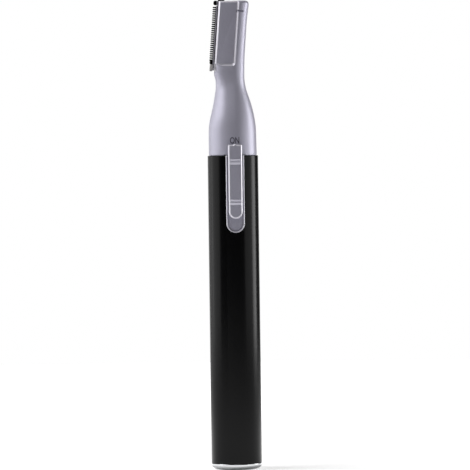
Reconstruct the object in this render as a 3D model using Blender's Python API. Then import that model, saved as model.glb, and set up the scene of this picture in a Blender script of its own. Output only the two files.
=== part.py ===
"""Electric eyebrow trimmer, pen shaped, standing upright on its end cap.

Metres, +Z up along the pen. The origin is the centre of the flat base, the switch faces -Y and the
blade edge faces -X. A cell feeds a small motor in the barrel, whose eccentric pin swings a long
rocker in the neck, and the rocker's short arm drives the moving cutter up and down behind the comb.
"""

import math

import bmesh
import bpy
from mathutils import Matrix, Vector

MM = 0.001

# Clearances and cutting allowance
SEAT_GAP = 0.3 * MM
OVERRUN = 1.0 * MM

# Facets of round shapes, which are counts
BARREL_STEPS = 64
ROUND_STEPS = 32
SMALL_STEPS = 16
SHELL_STEPS = 40

# How sharply a bent strip's corner may be mitred, and the angle that still counts as round
SHARPEST_MITRE_SHARE = 0.5
SMOOTH_ANGLE = math.radians(35)

# The cell and the barrel around it
CELL_DIAMETER = 10.5 * MM
CELL_LENGTH = 44.5 * MM
CELL_NUB_DIAMETER = 3.8 * MM
CELL_NUB_HEIGHT = 0.8 * MM
CELL_EDGE_RADIUS = 0.5 * MM
CELL_CLEARANCE = 0.35 * MM
LINER_WALL = 1.0 * MM
BARREL_WALL = 0.6 * MM
BARREL_EDGE = 0.15 * MM
BARREL_PAST_MOTOR = 4.1 * MM

# End cap and its spring
CAP_FLANGE_HEIGHT = 1.8 * MM
CAP_EDGE_RADIUS = 1.0 * MM
CAP_FLOOR = 1.5 * MM
CAP_SPIGOT_LENGTH = 5.5 * MM
CAP_SPIGOT_WALL = 1.4 * MM
SPRING_LENGTH = 6.4 * MM
SPRING_DIAMETER = 7.6 * MM
SPRING_WIRE = 0.7 * MM
SPRING_CURLS = 4
SPRING_POINTS_PER_CURL = 10

# Metal strips that carry the current
STRIP_THICKNESS = 0.3 * MM
STRIP_WIDTH = 1.6 * MM
STRIP_FROM_CENTRE = 0.3 * MM
STRIP_INSET = 0.45 * MM
CONTACT_PLATE_WIDTH = 5.0 * MM
LEAF_THICKNESS = 0.2 * MM
LEAF_HEIGHT = 2.4 * MM
LEAF_RISE = 0.55 * MM
LEAF_WIDTH = 3.6 * MM
OFF_BREAK = 1.6 * MM

# Motor: a round can with two flats
MOTOR_DIAMETER = 10.0 * MM
MOTOR_FLATS = 8.0 * MM
MOTOR_LENGTH = 15.0 * MM
MOTOR_CAN_WALL = 0.5 * MM
MOTOR_BELL_HEIGHT = 2.2 * MM
MOTOR_MOUTH_RADIUS = 1.8 * MM
MAGNET_THICKNESS = 1.1 * MM
MAGNET_SPAN = math.radians(96)
MAGNET_LENGTH = 8.5 * MM
ARMATURE_AIR_GAP = 0.4 * MM
ARMATURE_LENGTH = 7.5 * MM
ARMATURE_SLOT = 0.9 * MM
ARMATURE_POLES = 3
COMMUTATOR_RADIUS = 1.3 * MM
COMMUTATOR_HEIGHT = 1.8 * MM
BRUSH_THICKNESS = 0.3 * MM
BRUSH_WIDTH = 1.2 * MM
BRUSH_HEIGHT = 2.0 * MM
SHAFT_RADIUS = 0.5 * MM
SHAFT_TAIL = 1.2 * MM
BUSH_BOSS = 1.0 * MM
BUSH_DEPTH = 1.5 * MM

# Eccentric on the motor shaft
THROW = 1.4 * MM
DRIVE_PIN_RADIUS = 0.4 * MM
DRIVE_PIN_LENGTH = 3.6 * MM
ECCENTRIC_RADIUS = 2.4 * MM
ECCENTRIC_HEIGHT = 2.6 * MM
ECCENTRIC_ROOF = 0.6 * MM

# Chassis that holds motor and switch
CHASSIS_FLOOR = 1.5 * MM
WIRING_BAY_LENGTH = 18.3 * MM
WIRING_BAY_REAR = 4.2 * MM

# Switch surround and slide button
SURROUND_WIDTH = 5.8 * MM
SURROUND_LENGTH = 23.0 * MM
SURROUND_RIM = 0.5 * MM
SURROUND_PROUD = 0.2 * MM
RECESS_DEPTH = 0.6 * MM
RECESS_FLOOR = 0.8 * MM
BUTTON_LENGTH = 21.85 * MM
BUTTON_OVER_NECK = 3.2 * MM
BUTTON_TRAVEL = 3.5 * MM
BUTTON_SIDE_GAP = 0.325 * MM
BUTTON_PLATE = 1.1 * MM
BUTTON_SKIRT = 0.65 * MM
BUTTON_EDGE = 0.35 * MM
BUTTON_NUB_WIDTH = 1.0 * MM
BUTTON_NUB_RISE = 0.25 * MM
RIB_HEIGHT = 0.3 * MM
RIB_WIDTH = 0.45 * MM
RIB_PITCH = 0.9 * MM
UPPER_RIBS_BELOW_TOP = 4.9 * MM
LOWER_RIBS_ABOVE_END = 4.9 * MM
STEM_WIDTH = 1.0 * MM
STEM_LENGTH = 4.0 * MM
STEM_BELOW_TOP = 10.3 * MM
CARRIER_THICKNESS = 1.2 * MM
CARRIER_LENGTH = 15.5 * MM
CARRIER_BELOW_MOTOR = 4.0 * MM

# Neck and head shell
NECK_INSET = 0.4 * MM
SHELL_WALL = 1.2 * MM
SPIGOT_LENGTH = 7.1 * MM
NECK_LENGTH = 24.0 * MM
HEAD_PAST_CASSETTE = 0.4 * MM
HEAD_THICKNESS = 6.6 * MM
WAIST_INSIDE_EDGE = 0.08 * MM
HEAD_PAST_EDGE = 0.39 * MM
WAIST_PAST_PANEL = 3.2 * MM
HEAD_PAST_PANEL = 3.05 * MM
HEAD_EDGE_RADIUS = 1.0 * MM
HEAD_EDGE_STEPS = 4

# Shares down the neck: height, then how far left side, right side and depth have gone from the
# round base to the slim waist, how far the left side has flared back, and how square it is
NECK_SHARES = (
    (0.0125, 0.00, 0.00, 0.00, 0.00, 0.00),
    (0.100, 0.00, 0.01, 0.00, 0.00, 0.00),
    (0.210, 0.00, 0.02, 0.01, 0.00, 0.00),
    (0.330, 0.03, 0.04, 0.03, 0.00, 0.00),
    (0.390, 0.09, 0.08, 0.07, 0.00, 0.00),
    (0.442, 0.18, 0.13, 0.12, 0.00, 0.02),
    (0.497, 0.31, 0.20, 0.19, 0.00, 0.04),
    (0.550, 0.45, 0.28, 0.27, 0.00, 0.08),
    (0.606, 0.58, 0.38, 0.36, 0.00, 0.12),
    (0.662, 0.70, 0.49, 0.46, 0.00, 0.18),
    (0.700, 0.77, 0.58, 0.53, 0.00, 0.24),
    (0.738, 0.83, 0.67, 0.60, 0.00, 0.30),
    (0.775, 0.90, 0.76, 0.67, 0.00, 0.38),
    (0.813, 0.96, 0.84, 0.74, 0.00, 0.48),
    (0.848, 0.99, 0.90, 0.80, 0.00, 0.58),
    (0.883, 1.00, 0.95, 0.86, 0.02, 0.68),
    (0.921, 1.00, 0.98, 0.91, 0.12, 0.80),
    (0.958, 1.00, 1.00, 0.95, 0.40, 0.90),
    (0.980, 1.00, 1.00, 0.97, 0.75, 0.96),
    (1.000, 1.00, 1.00, 0.98, 1.00, 1.00),
)
# Shares up the head: height, how far the right side has gone from waist to top, and the depth
HEAD_SHARES = (
    (0.040, 0.00, 0.99),
    (0.100, 0.03, 1.00),
    (0.256, 0.11, 1.00),
    (0.360, 0.21, 1.00),
    (0.470, 0.33, 1.00),
    (0.580, 0.44, 1.00),
    (0.690, 0.56, 1.00),
    (0.800, 0.73, 1.00),
    (0.900, 0.92, 1.00),
    (0.945, 1.00, 1.00),
)
ROUND_POWER = 2.0
SQUARE_POWER = 7.0

# Blade cassette, measured along the leaning blade line from its lower left corner
BLADE_LEAN = math.radians(4.5)
CASSETTE_LENGTH = 18.85 * MM
CASSETTE_WIDTH = 5.6 * MM
CASSETTE_CHEEK = 0.8 * MM
CASSETTE_WALL = 0.7 * MM
CASSETTE_EDGE_WALL = 0.5 * MM
CASSETTE_BEVEL = 0.6 * MM
CASSETTE_CORNER = 0.6 * MM
CASSETTE_ABOVE_WAIST = 2.7 * MM
CASSETTE_LEFT_OF_AXIS = 4.863 * MM
TONGUE_FROM_EDGE = 2.6 * MM
HEAD_CAVITY_PAST_CASSETTE = 2.0 * MM
HEAD_CAVITY_DEPTH = 2.4 * MM
HEAD_CAVITY_BELOW_TOP = 2.35 * MM
THUMB_NOTCH_LENGTH = 1.5 * MM
THUMB_NOTCH_HEIGHT = 0.7 * MM
THUMB_NOTCH_DEPTH = 0.6 * MM
THUMB_NOTCH_BELOW_TOP = 2.8 * MM

# Comb and moving cutter
TOOTH_PITCH = 0.61 * MM
FIRST_TOOTH_UP = 2.35 * MM
TEETH_BELOW_TOP = 1.25 * MM
TOOTH_ROOT_WIDTH = 0.38 * MM
TOOTH_TIP_WIDTH = 0.24 * MM
COMB_THICKNESS = 0.35 * MM
COMB_TO_FRONT = 1.75 * MM
COMB_ROOT_OUT = 0.65 * MM
COMB_TOOTH_LENGTH = 1.0 * MM
COMB_WIDTH_INSIDE = 2.0 * MM
COMB_BODY_UP = 1.2 * MM
COMB_TAB_RISE = 1.0 * MM
COMB_TAB_WIDTH = 1.3 * MM
END_TOOTH_HEIGHT = 1.2 * MM
END_TOOTH_LENGTH = 1.2 * MM
END_TOOTH_STEPS = 8
CUTTER_THICKNESS = 0.35 * MM
CUTTER_TOOTH_LENGTH = 0.6 * MM
CUTTER_WIDTH_INSIDE = 1.6 * MM
CUTTER_MARGIN = 0.55 * MM
GUARD_HEIGHT = 1.9 * MM
GUARD_WIDTH = 1.1 * MM
GUARD_DEPTH = 2.6 * MM
GUARD_EDGE = 0.2 * MM

# Rocker, its pin, and the block on the cutter that it pushes
PIVOT_PAST_CASSETTE = 0.2 * MM
DRIVE_ABOVE_CASSETTE = 2.8 * MM
TIP_RADIUS = 0.5 * MM
TIP_FROM_EDGE = 1.8 * MM
HUB_WALL = 0.5 * MM
ROCKER_PIN_RADIUS = 0.4 * MM
LEVER_THICKNESS = 1.0 * MM
LEVER_TOP_WIDTH = 1.7 * MM
LEVER_LOW_WIDTH = 1.5 * MM
FORK_CLEARANCE = 0.05 * MM
FORK_PRONG = 0.9 * MM
FORK_DEPTH = 3.6 * MM
FORK_BRIDGE = 1.0 * MM
FORK_LIFT = 0.6 * MM
BLOCK_WEB = 0.5 * MM
BLOCK_LUG = 0.6 * MM
BLOCK_WIDTH = 1.5 * MM
BLOCK_DEPTH = 1.5 * MM
LEAF_SPRING_THICKNESS = 0.25 * MM
LEAF_SPRING_LENGTH = 8.0 * MM
LEAF_SPRING_WIDTH = 1.2 * MM
LEAF_SPRING_STEPS = 8

# Radii built outwards from the cell
LINER_INNER_RADIUS = CELL_DIAMETER / 2 + CELL_CLEARANCE
LINER_OUTER_RADIUS = LINER_INNER_RADIUS + LINER_WALL
BARREL_INNER_RADIUS = LINER_OUTER_RADIUS + SEAT_GAP
BARREL_RADIUS = BARREL_INNER_RADIUS + BARREL_WALL
NECK_RADIUS = BARREL_RADIUS - NECK_INSET

# Heights stacked up from the base
SPIGOT_TOP = CAP_FLANGE_HEIGHT + CAP_SPIGOT_LENGTH
CELL_BOTTOM = CAP_FLOOR + SEAT_GAP + SPRING_LENGTH + SEAT_GAP
CELL_TOP = CELL_BOTTOM + CELL_LENGTH
PLATE_BOTTOM = CELL_TOP + SEAT_GAP
CHASSIS_BOTTOM = PLATE_BOTTOM + STRIP_THICKNESS + SEAT_GAP
MOTOR_LEDGE = CHASSIS_BOTTOM + CHASSIS_FLOOR + WIRING_BAY_LENGTH
MOTOR_BOTTOM = MOTOR_LEDGE + SEAT_GAP
MOTOR_TOP = MOTOR_BOTTOM + MOTOR_LENGTH
BARREL_BOTTOM = CAP_FLANGE_HEIGHT + SEAT_GAP
BARREL_TOP = MOTOR_TOP + BARREL_PAST_MOTOR
SHELL_SPIGOT_BOTTOM = BARREL_TOP - SPIGOT_LENGTH
CHASSIS_TOP = SHELL_SPIGOT_BOTTOM - SEAT_GAP
NECK_BOTTOM = BARREL_TOP + SEAT_GAP
WAIST_HEIGHT = BARREL_TOP + NECK_LENGTH
CASSETTE_BOTTOM = WAIST_HEIGHT + CASSETTE_ABOVE_WAIST
HEAD_TOP = CASSETTE_BOTTOM + CASSETTE_LENGTH * math.cos(BLADE_LEAN) + HEAD_PAST_CASSETTE
ECCENTRIC_BOTTOM = MOTOR_TOP + BUSH_BOSS + SEAT_GAP
ECCENTRIC_TOP = ECCENTRIC_BOTTOM + ECCENTRIC_HEIGHT
DRIVE_PIN_TOP = ECCENTRIC_TOP + DRIVE_PIN_LENGTH

# Switch places, as depths towards the front
CHANNEL_HALF_WIDTH = SURROUND_WIDTH / 2 + SEAT_GAP
RIM_FRONT = BARREL_RADIUS + SURROUND_PROUD
FLOOR_FRONT = BARREL_RADIUS - RECESS_DEPTH
FLOOR_BACK = FLOOR_FRONT - RECESS_FLOOR
CARRIER_FRONT = FLOOR_BACK - SEAT_GAP
CARRIER_BACK = CARRIER_FRONT - CARRIER_THICKNESS
PLATE_BACK = NECK_RADIUS + SEAT_GAP
PLATE_FRONT = PLATE_BACK + BUTTON_PLATE
SURROUND_BOTTOM = BARREL_TOP - SURROUND_LENGTH
BUTTON_TOP = BARREL_TOP + BUTTON_OVER_NECK
BUTTON_BOTTOM = BUTTON_TOP - BUTTON_LENGTH
BUTTON_HALF_WIDTH = SURROUND_WIDTH / 2 - SURROUND_RIM - BUTTON_SIDE_GAP
STEM_TOP = BUTTON_TOP - STEM_BELOW_TOP
CARRIER_BOTTOM = MOTOR_BOTTOM - CARRIER_BELOW_MOTOR
LEAF_FRONT = CARRIER_BACK - SEAT_GAP
STRIP_FRONT = LEAF_FRONT - LEAF_THICKNESS - LEAF_RISE - SEAT_GAP
LEAF_MIDDLE = CARRIER_BOTTOM + LEAF_HEIGHT / 2

# Places in the leaning cassette frame: across is away from the blade, up is along it
CHEEK_INNER = HEAD_THICKNESS / 2 - CASSETTE_CHEEK
TONGUE_FACE = CHEEK_INNER - SEAT_GAP
PIN_SEAT_FLOOR = TONGUE_FACE - SEAT_GAP
CASSETTE_CAVITY_LEFT = CASSETTE_EDGE_WALL - CASSETTE_BEVEL / 2
COMB_FRONT = -COMB_TO_FRONT
COMB_BACK = COMB_FRONT + COMB_THICKNESS
CUTTER_FRONT = COMB_BACK + SEAT_GAP
CUTTER_BACK = CUTTER_FRONT + CUTTER_THICKNESS
BLOCK_FRONT = CUTTER_BACK + SEAT_GAP
BLOCK_BACK = BLOCK_FRONT + BLOCK_DEPTH
TOOTH_ROW = CASSETTE_LENGTH - FIRST_TOOTH_UP - TEETH_BELOW_TOP
TOOTH_COUNT = 1 + round(TOOTH_ROW / TOOTH_PITCH)
LAST_TOOTH_UP = FIRST_TOOTH_UP + (TOOTH_COUNT - 1) * TOOTH_PITCH
END_TOOTH_UP = (
    FIRST_TOOTH_UP - TOOTH_PITCH / 2 - END_TOOTH_HEIGHT / 2 - SEAT_GAP,
    LAST_TOOTH_UP + TOOTH_PITCH / 2 + END_TOOTH_HEIGHT / 2 + SEAT_GAP,
)
END_TOOTH_CENTRE = -COMB_ROOT_OUT - END_TOOTH_LENGTH + END_TOOTH_HEIGHT / 2
HUB_RADIUS = ROCKER_PIN_RADIUS + SEAT_GAP + HUB_WALL
PIVOT_ACROSS = CASSETTE_WIDTH + PIVOT_PAST_CASSETTE
ARM_LENGTH = PIVOT_ACROSS - TIP_FROM_EDGE
TONGUE_TOP = CASSETTE_LENGTH - CASSETTE_WALL - SEAT_GAP
CASSETTE_CORNER_PLACE = Vector((-CASSETTE_LEFT_OF_AXIS, 0, CASSETTE_BOTTOM))
LEAN = Matrix.Rotation(BLADE_LEAN, 4, "Y")
PIVOT_PLACE = CASSETTE_CORNER_PLACE + LEAN @ Vector((PIVOT_ACROSS, 0, DRIVE_ABOVE_CASSETTE))


def paint(name, red, green, blue, roughness, metallic=0.0):
    """A material with one colour, given as linear red, green and blue."""
    material = bpy.data.materials.new(name)
    material.use_nodes = True
    shader = material.node_tree.nodes["Principled BSDF"]
    shader.inputs["Base Color"].default_value = (red, green, blue, 1)
    shader.inputs["Roughness"].default_value = roughness
    shader.inputs["Metallic"].default_value = metallic
    material.diffuse_color = (red, green, blue, 1)
    return material


def mesh_of(name, points, faces):
    """A mesh of flat triangles from points and faces, turned outwards, its round sides smooth."""
    mesh = bpy.data.meshes.new(name)
    mesh.from_pydata([tuple(point) for point in points], [], faces)
    shape = bmesh.new()
    shape.from_mesh(mesh)
    bmesh.ops.recalc_face_normals(shape, faces=shape.faces[:])
    bmesh.ops.triangulate(shape, faces=shape.faces[:])
    shape.to_mesh(mesh)
    shape.free()
    mesh.shade_smooth()
    mesh.set_sharp_from_angle(angle=SMOOTH_ANGLE)
    return mesh


def lofted(rings):
    """Skins closed rings of equal count, in order, and closes both ends."""
    count = len(rings[0])
    points = [point for ring in rings for point in ring]
    faces = [tuple(range(count)), tuple(range(len(points) - count, len(points)))]
    for level in range(len(rings) - 1):
        for step in range(count):
            after = (step + 1) % count
            low, high = level * count, (level + 1) * count
            faces.append((low + step, low + after, high + after, high + step))
    return points, faces


def turned(profile, steps, whole=True):
    """Turns (radius, height) points about Z. A whole profile begins and ends on the axis."""
    points, loops = [], []
    for radius, height in profile:
        turns = steps if radius > 0 else 1
        loops.append(range(len(points), len(points) + turns))
        for step in range(turns):
            angle = 2 * math.pi * step / steps
            points.append((radius * math.cos(angle), radius * math.sin(angle), height))
    faces = []
    pairs = list(zip(loops, loops[1:]))
    if not whole:
        pairs.append((loops[-1], loops[0]))
    for low, high in pairs:
        for step in range(steps):
            after = (step + 1) % steps
            corners = [low[step % len(low)], low[after % len(low)]]
            corners += [high[after % len(high)], high[step % len(high)]]
            faces.append(tuple(dict.fromkeys(corners)))
    return points, faces


def prism(outline, low, high, along):
    """Extrudes a flat outline from low to high along X, Y or Z."""
    place = {
        "X": lambda across, up, depth: (depth, across, up),
        "Y": lambda across, up, depth: (across, depth, up),
        "Z": lambda across, up, depth: (across, up, depth),
    }[along]
    return lofted([[place(*point, depth) for point in outline] for depth in (low, high)])


def box(low, high):
    """A block between two corners."""
    outline = [(low[0], low[1]), (high[0], low[1]), (high[0], high[1]), (low[0], high[1])]
    return prism(outline, low[2], high[2], "Z")


def arc(centre, radius, start, end, steps):
    """Points round part of a circle, both ends included, angles in degrees."""
    points = []
    for step in range(steps + 1):
        angle = math.radians(start + (end - start) * step / steps)
        points.append((centre[0] + radius * math.cos(angle), centre[1] + radius * math.sin(angle)))
    return points


def ribbon(path, thickness):
    """The outline of a strip of even thickness along a path of straight stretches."""
    left, right = [], []
    for index, point in enumerate(path):
        here = Vector(point)
        before = (here - Vector(path[index - 1])).normalized() if index else None
        after = (Vector(path[index + 1]) - here).normalized() if index + 1 < len(path) else None
        before, after = before or after, after or before
        middle = (before + after).normalized()
        normal = Vector((-middle.y, middle.x)) / max(middle.dot(after), SHARPEST_MITRE_SHARE)
        left.append(tuple(here + normal * thickness / 2))
        right.append(tuple(here - normal * thickness / 2))
    return left + right[::-1]


def place(name, shape, material, parent=None, at=(0, 0, 0)):
    """Adds a named piece to the scene, standing in its parent's frame."""
    piece = bpy.data.objects.new(name, mesh_of(name, *shape))
    piece.data.materials.append(material)
    bpy.context.scene.collection.objects.link(piece)
    piece.parent = parent
    piece.location = at
    return piece


def combine(piece, name, shape, operation):
    """Cuts, joins or keeps a helper shape on a piece, in the piece's own frame."""
    helper = bpy.data.objects.new(piece.name + "_" + name, mesh_of(name, *shape))
    bpy.context.scene.collection.objects.link(helper)
    helper.parent = piece
    helper.hide_render = True
    helper.display_type = "WIRE"
    change = piece.modifiers.new(name, "BOOLEAN")
    change.operation = operation
    change.object = helper
    return helper


def frame_at(name, location, turn=0.0):
    """An empty that carries pieces at a place, leaning about Y."""
    empty = bpy.data.objects.new(name, None)
    bpy.context.scene.collection.objects.link(empty)
    empty.location = location
    empty.rotation_euler = (0, turn, 0)
    return empty


def mix(start, end, share):
    return start + (end - start) * share


# Barrel, liner and cell


def make_barrel(black):
    """The tube, with a U-shaped notch for the switch open at its top."""
    edge = BARREL_EDGE
    profile = [
        (BARREL_INNER_RADIUS, BARREL_BOTTOM),
        (BARREL_RADIUS - edge, BARREL_BOTTOM),
        (BARREL_RADIUS, BARREL_BOTTOM + edge),
        (BARREL_RADIUS, BARREL_TOP - edge),
        (BARREL_RADIUS - edge, BARREL_TOP),
        (BARREL_INNER_RADIUS, BARREL_TOP),
    ]
    barrel = place("barrel_tube", turned(profile, BARREL_STEPS, whole=False), black)
    centre = SURROUND_BOTTOM + SURROUND_WIDTH / 2
    outline = arc((0, centre), CHANNEL_HALF_WIDTH, 180, 360, SMALL_STEPS)
    outline += [
        (CHANNEL_HALF_WIDTH, BARREL_TOP + OVERRUN),
        (-CHANNEL_HALF_WIDTH, BARREL_TOP + OVERRUN),
    ]
    notch = prism(outline, -BARREL_RADIUS - OVERRUN, 0, "Y")
    combine(barrel, "notch", notch, "DIFFERENCE")


def make_liner(plastic):
    """Sleeve round the cell, slotted at the front for the negative strip."""
    low, high = SPIGOT_TOP + SEAT_GAP, CHASSIS_BOTTOM - SEAT_GAP
    profile = [
        (LINER_INNER_RADIUS, low),
        (LINER_OUTER_RADIUS, low),
        (LINER_OUTER_RADIUS, high),
        (LINER_INNER_RADIUS, high),
    ]
    liner = place("battery_liner", turned(profile, ROUND_STEPS, whole=False), plastic)
    slot = box(
        (-STRIP_FROM_CENTRE - STRIP_WIDTH - SEAT_GAP, -BARREL_RADIUS, low - OVERRUN),
        (-STRIP_FROM_CENTRE + SEAT_GAP, 0, high + OVERRUN),
    )
    combine(liner, "slot", slot, "DIFFERENCE")


def make_cell(steel):
    """A standard cell, its nub upwards."""
    radius, nub = CELL_DIAMETER / 2, CELL_NUB_DIAMETER / 2
    shoulder = CELL_TOP - CELL_NUB_HEIGHT
    profile = [
        (0, CELL_BOTTOM),
        (radius - CELL_EDGE_RADIUS, CELL_BOTTOM),
        (radius, CELL_BOTTOM + CELL_EDGE_RADIUS),
        (radius, shoulder - CELL_EDGE_RADIUS),
        (radius - CELL_EDGE_RADIUS, shoulder),
        (nub, shoulder),
        (nub, CELL_TOP),
        (0, CELL_TOP),
    ]
    place("battery_cell", turned(profile, ROUND_STEPS), steel)


# End cap


def make_end_cap(chrome):
    """A cup whose flange closes the barrel and whose spigot plugs into it."""
    pocket = LINER_OUTER_RADIUS - CAP_SPIGOT_WALL
    profile = [(0, 0)]
    centre = (BARREL_RADIUS - CAP_EDGE_RADIUS, CAP_EDGE_RADIUS)
    profile += arc(centre, CAP_EDGE_RADIUS, -90, 0, SMALL_STEPS // 3)
    profile += [
        (BARREL_RADIUS, CAP_FLANGE_HEIGHT),
        (LINER_OUTER_RADIUS, CAP_FLANGE_HEIGHT),
        (LINER_OUTER_RADIUS, SPIGOT_TOP),
        (pocket, SPIGOT_TOP),
        (pocket, CAP_FLOOR),
        (0, CAP_FLOOR),
    ]
    place("end_cap", turned(profile, BARREL_STEPS), chrome)


def spring_points():
    """The spring's centre line: a helix whose ends turn straight, square to what they meet."""
    radius = (SPRING_DIAMETER - SPRING_WIRE) / 2
    low = CAP_FLOOR + SEAT_GAP
    high = low + SPRING_LENGTH
    total = SPRING_CURLS * SPRING_POINTS_PER_CURL
    points = [Vector((radius, 0, low))]
    for step in range(total + 1):
        angle = 2 * math.pi * step / SPRING_POINTS_PER_CURL
        height = mix(low + SPRING_WIRE, high - SPRING_WIRE, step / total)
        points.append(Vector((radius * math.cos(angle), radius * math.sin(angle), height)))
    points.append(Vector((radius, 0, high)))
    return points


def least_gap(points, thickness):
    """The smallest gap between stretches of the wire that lie on different curls."""
    apart = SPRING_POINTS_PER_CURL // 2
    distances = [
        (first - second).length
        for index, first in enumerate(points)
        for second in points[index + apart :]
    ]
    return min(distances) - thickness


def make_battery_spring(steel):
    """The coil spring between the cap's floor and the cell."""
    points = spring_points()
    curve = bpy.data.curves.new("battery_spring", "CURVE")
    curve.dimensions = "3D"
    curve.bevel_depth = SPRING_WIRE / 2
    curve.bevel_resolution = 1
    curve.use_fill_caps = True
    line = curve.splines.new("POLY")
    line.points.add(len(points) - 1)
    for slot, point in zip(line.points, points):
        slot.co = (*point, 1)
    curve.materials.append(steel)
    spring = bpy.data.objects.new("battery_spring", curve)
    bpy.context.scene.collection.objects.link(spring)
    print(f"battery_spring least gap {least_gap(points, SPRING_WIRE) / MM:.2f} mm")


# Current path


def strip_span():
    return -STRIP_FROM_CENTRE - STRIP_WIDTH, -STRIP_FROM_CENTRE


def make_negative_strip(brass):
    """From a foot on the cap's spigot up the liner's slot to the switch."""
    foot = SPIGOT_TOP + SEAT_GAP + STRIP_THICKNESS / 2
    outer = LINER_OUTER_RADIUS - STRIP_INSET
    toe = outer - CAP_SPIGOT_WALL + STRIP_INSET
    bend = CHASSIS_BOTTOM + CHASSIS_FLOOR + SEAT_GAP
    inner = STRIP_FRONT - STRIP_THICKNESS / 2
    path = [
        (-toe, foot),
        (-outer, foot),
        (-outer, bend),
        (-inner, bend + outer - inner),
        (-inner, MOTOR_LEDGE - SEAT_GAP),
    ]
    low, high = strip_span()
    place("negative_strip", prism(ribbon(path, STRIP_THICKNESS), low, high, "X"), brass)


def make_motor_contact(brass):
    """From the switch to the motor's front terminal, clear of the switch when it is off."""
    inner = STRIP_FRONT - STRIP_THICKNESS / 2
    top = MOTOR_LEDGE - STRIP_THICKNESS / 2
    path = [(-inner, LEAF_MIDDLE - OFF_BREAK), (-inner, top), (-inner / 2, top)]
    low, high = (-end for end in reversed(strip_span()))
    place("motor_contact", prism(ribbon(path, STRIP_THICKNESS), low, high, "X"), brass)


def make_positive_contact(brass):
    """A plate on the cell's nub, with a leg up the back of the wiring bay to the motor."""
    middle = PLATE_BOTTOM + STRIP_THICKNESS / 2
    rear = WIRING_BAY_REAR - SEAT_GAP - STRIP_THICKNESS / 2
    path = [(-CONTACT_PLATE_WIDTH / 2, middle), (rear, middle), (rear, MOTOR_LEDGE)]
    shape = prism(ribbon(path, STRIP_THICKNESS), -STRIP_WIDTH / 2, STRIP_WIDTH / 2, "X")
    place("positive_contact", shape, brass)


# Motor


def can_outline(radius, flats):
    """A circle with two flats, front and back."""
    limit = math.degrees(math.asin(min(flats / 2 / radius, 1)))
    right = arc((0, 0), radius, -limit, limit, SMALL_STEPS // 2)
    left = arc((0, 0), radius, 180 - limit, 180 + limit, SMALL_STEPS // 2)
    return right + left


def make_motor_can(steel):
    radius = MOTOR_DIAMETER / 2
    low = MOTOR_BOTTOM + MOTOR_BELL_HEIGHT + SEAT_GAP
    can = place("motor_can", prism(can_outline(radius, MOTOR_FLATS), low, MOTOR_TOP, "Z"), steel)
    inside = can_outline(radius - MOTOR_CAN_WALL, MOTOR_FLATS - 2 * MOTOR_CAN_WALL)
    hollow = prism(inside, low - OVERRUN, MOTOR_TOP - MOTOR_CAN_WALL, "Z")
    combine(can, "hollow", hollow, "DIFFERENCE")
    mouth = prism(
        arc((0, 0), MOTOR_MOUTH_RADIUS, 0, 360, SMALL_STEPS)[:-1],
        MOTOR_TOP - MOTOR_CAN_WALL - OVERRUN,
        MOTOR_TOP + OVERRUN,
        "Z",
    )
    combine(can, "mouth", mouth, "DIFFERENCE")


def make_motor_bell(plastic):
    """The plastic lid at the motor's tail, bored for the shaft."""
    outline = can_outline(MOTOR_DIAMETER / 2, MOTOR_FLATS)
    top = MOTOR_BOTTOM + MOTOR_BELL_HEIGHT
    bell = place("motor_end_bell", prism(outline, MOTOR_BOTTOM, top, "Z"), plastic)
    bore = prism(
        arc((0, 0), SHAFT_RADIUS + SEAT_GAP, 0, 360, SMALL_STEPS)[:-1],
        MOTOR_BOTTOM + MOTOR_BELL_HEIGHT - SHAFT_TAIL - SEAT_GAP,
        top + OVERRUN,
        "Z",
    )
    combine(bell, "bore", bore, "DIFFERENCE")


def magnet_radius():
    return MOTOR_DIAMETER / 2 - MOTOR_CAN_WALL - SEAT_GAP


def make_magnets(ferrite):
    """Two curved magnets inside the can, left and right."""
    outer = magnet_radius()
    inner = outer - MAGNET_THICKNESS
    half = math.degrees(MAGNET_SPAN) / 2
    middle = (MOTOR_BOTTOM + MOTOR_BELL_HEIGHT + MOTOR_TOP) / 2
    for name, side in (("magnet_left", 180), ("magnet_right", 0)):
        outline = arc((0, 0), outer, side - half, side + half, SMALL_STEPS // 2)
        outline += arc((0, 0), inner, side + half, side - half, SMALL_STEPS // 2)
        low, high = middle - MAGNET_LENGTH / 2, middle + MAGNET_LENGTH / 2
        place(name, prism(outline, low, high, "Z"), ferrite)


def make_brushes(brass):
    """Two strips beside the commutator."""
    low = MOTOR_BOTTOM + MOTOR_BELL_HEIGHT + SEAT_GAP
    inner = COMMUTATOR_RADIUS + SEAT_GAP
    outer = inner + BRUSH_THICKNESS
    for name, start, end in (("brush_left", -outer, -inner), ("brush_right", inner, outer)):
        corners = (start, -BRUSH_WIDTH / 2, low), (end, BRUSH_WIDTH / 2, low + BRUSH_HEIGHT)
        place(name, box(*corners), brass)


def make_motor_bush(bronze):
    """The front bearing, a flanged ring in the can's mouth."""
    bore = SHAFT_RADIUS + SEAT_GAP
    outer = MOTOR_MOUTH_RADIUS - SEAT_GAP
    low, high = MOTOR_TOP - BUSH_DEPTH, MOTOR_TOP + BUSH_BOSS
    profile = [(bore, low), (outer, low), (outer, high), (bore, high)]
    place("motor_bush", turned(profile, SMALL_STEPS, whole=False), bronze)


# Rotor


def make_shaft(steel):
    low = MOTOR_BOTTOM + MOTOR_BELL_HEIGHT - SHAFT_TAIL
    high = ECCENTRIC_TOP - ECCENTRIC_ROOF - SEAT_GAP
    profile = [(0, low), (SHAFT_RADIUS, low), (SHAFT_RADIUS, high), (0, high)]
    place("motor_shaft", turned(profile, SMALL_STEPS), steel)


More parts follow.
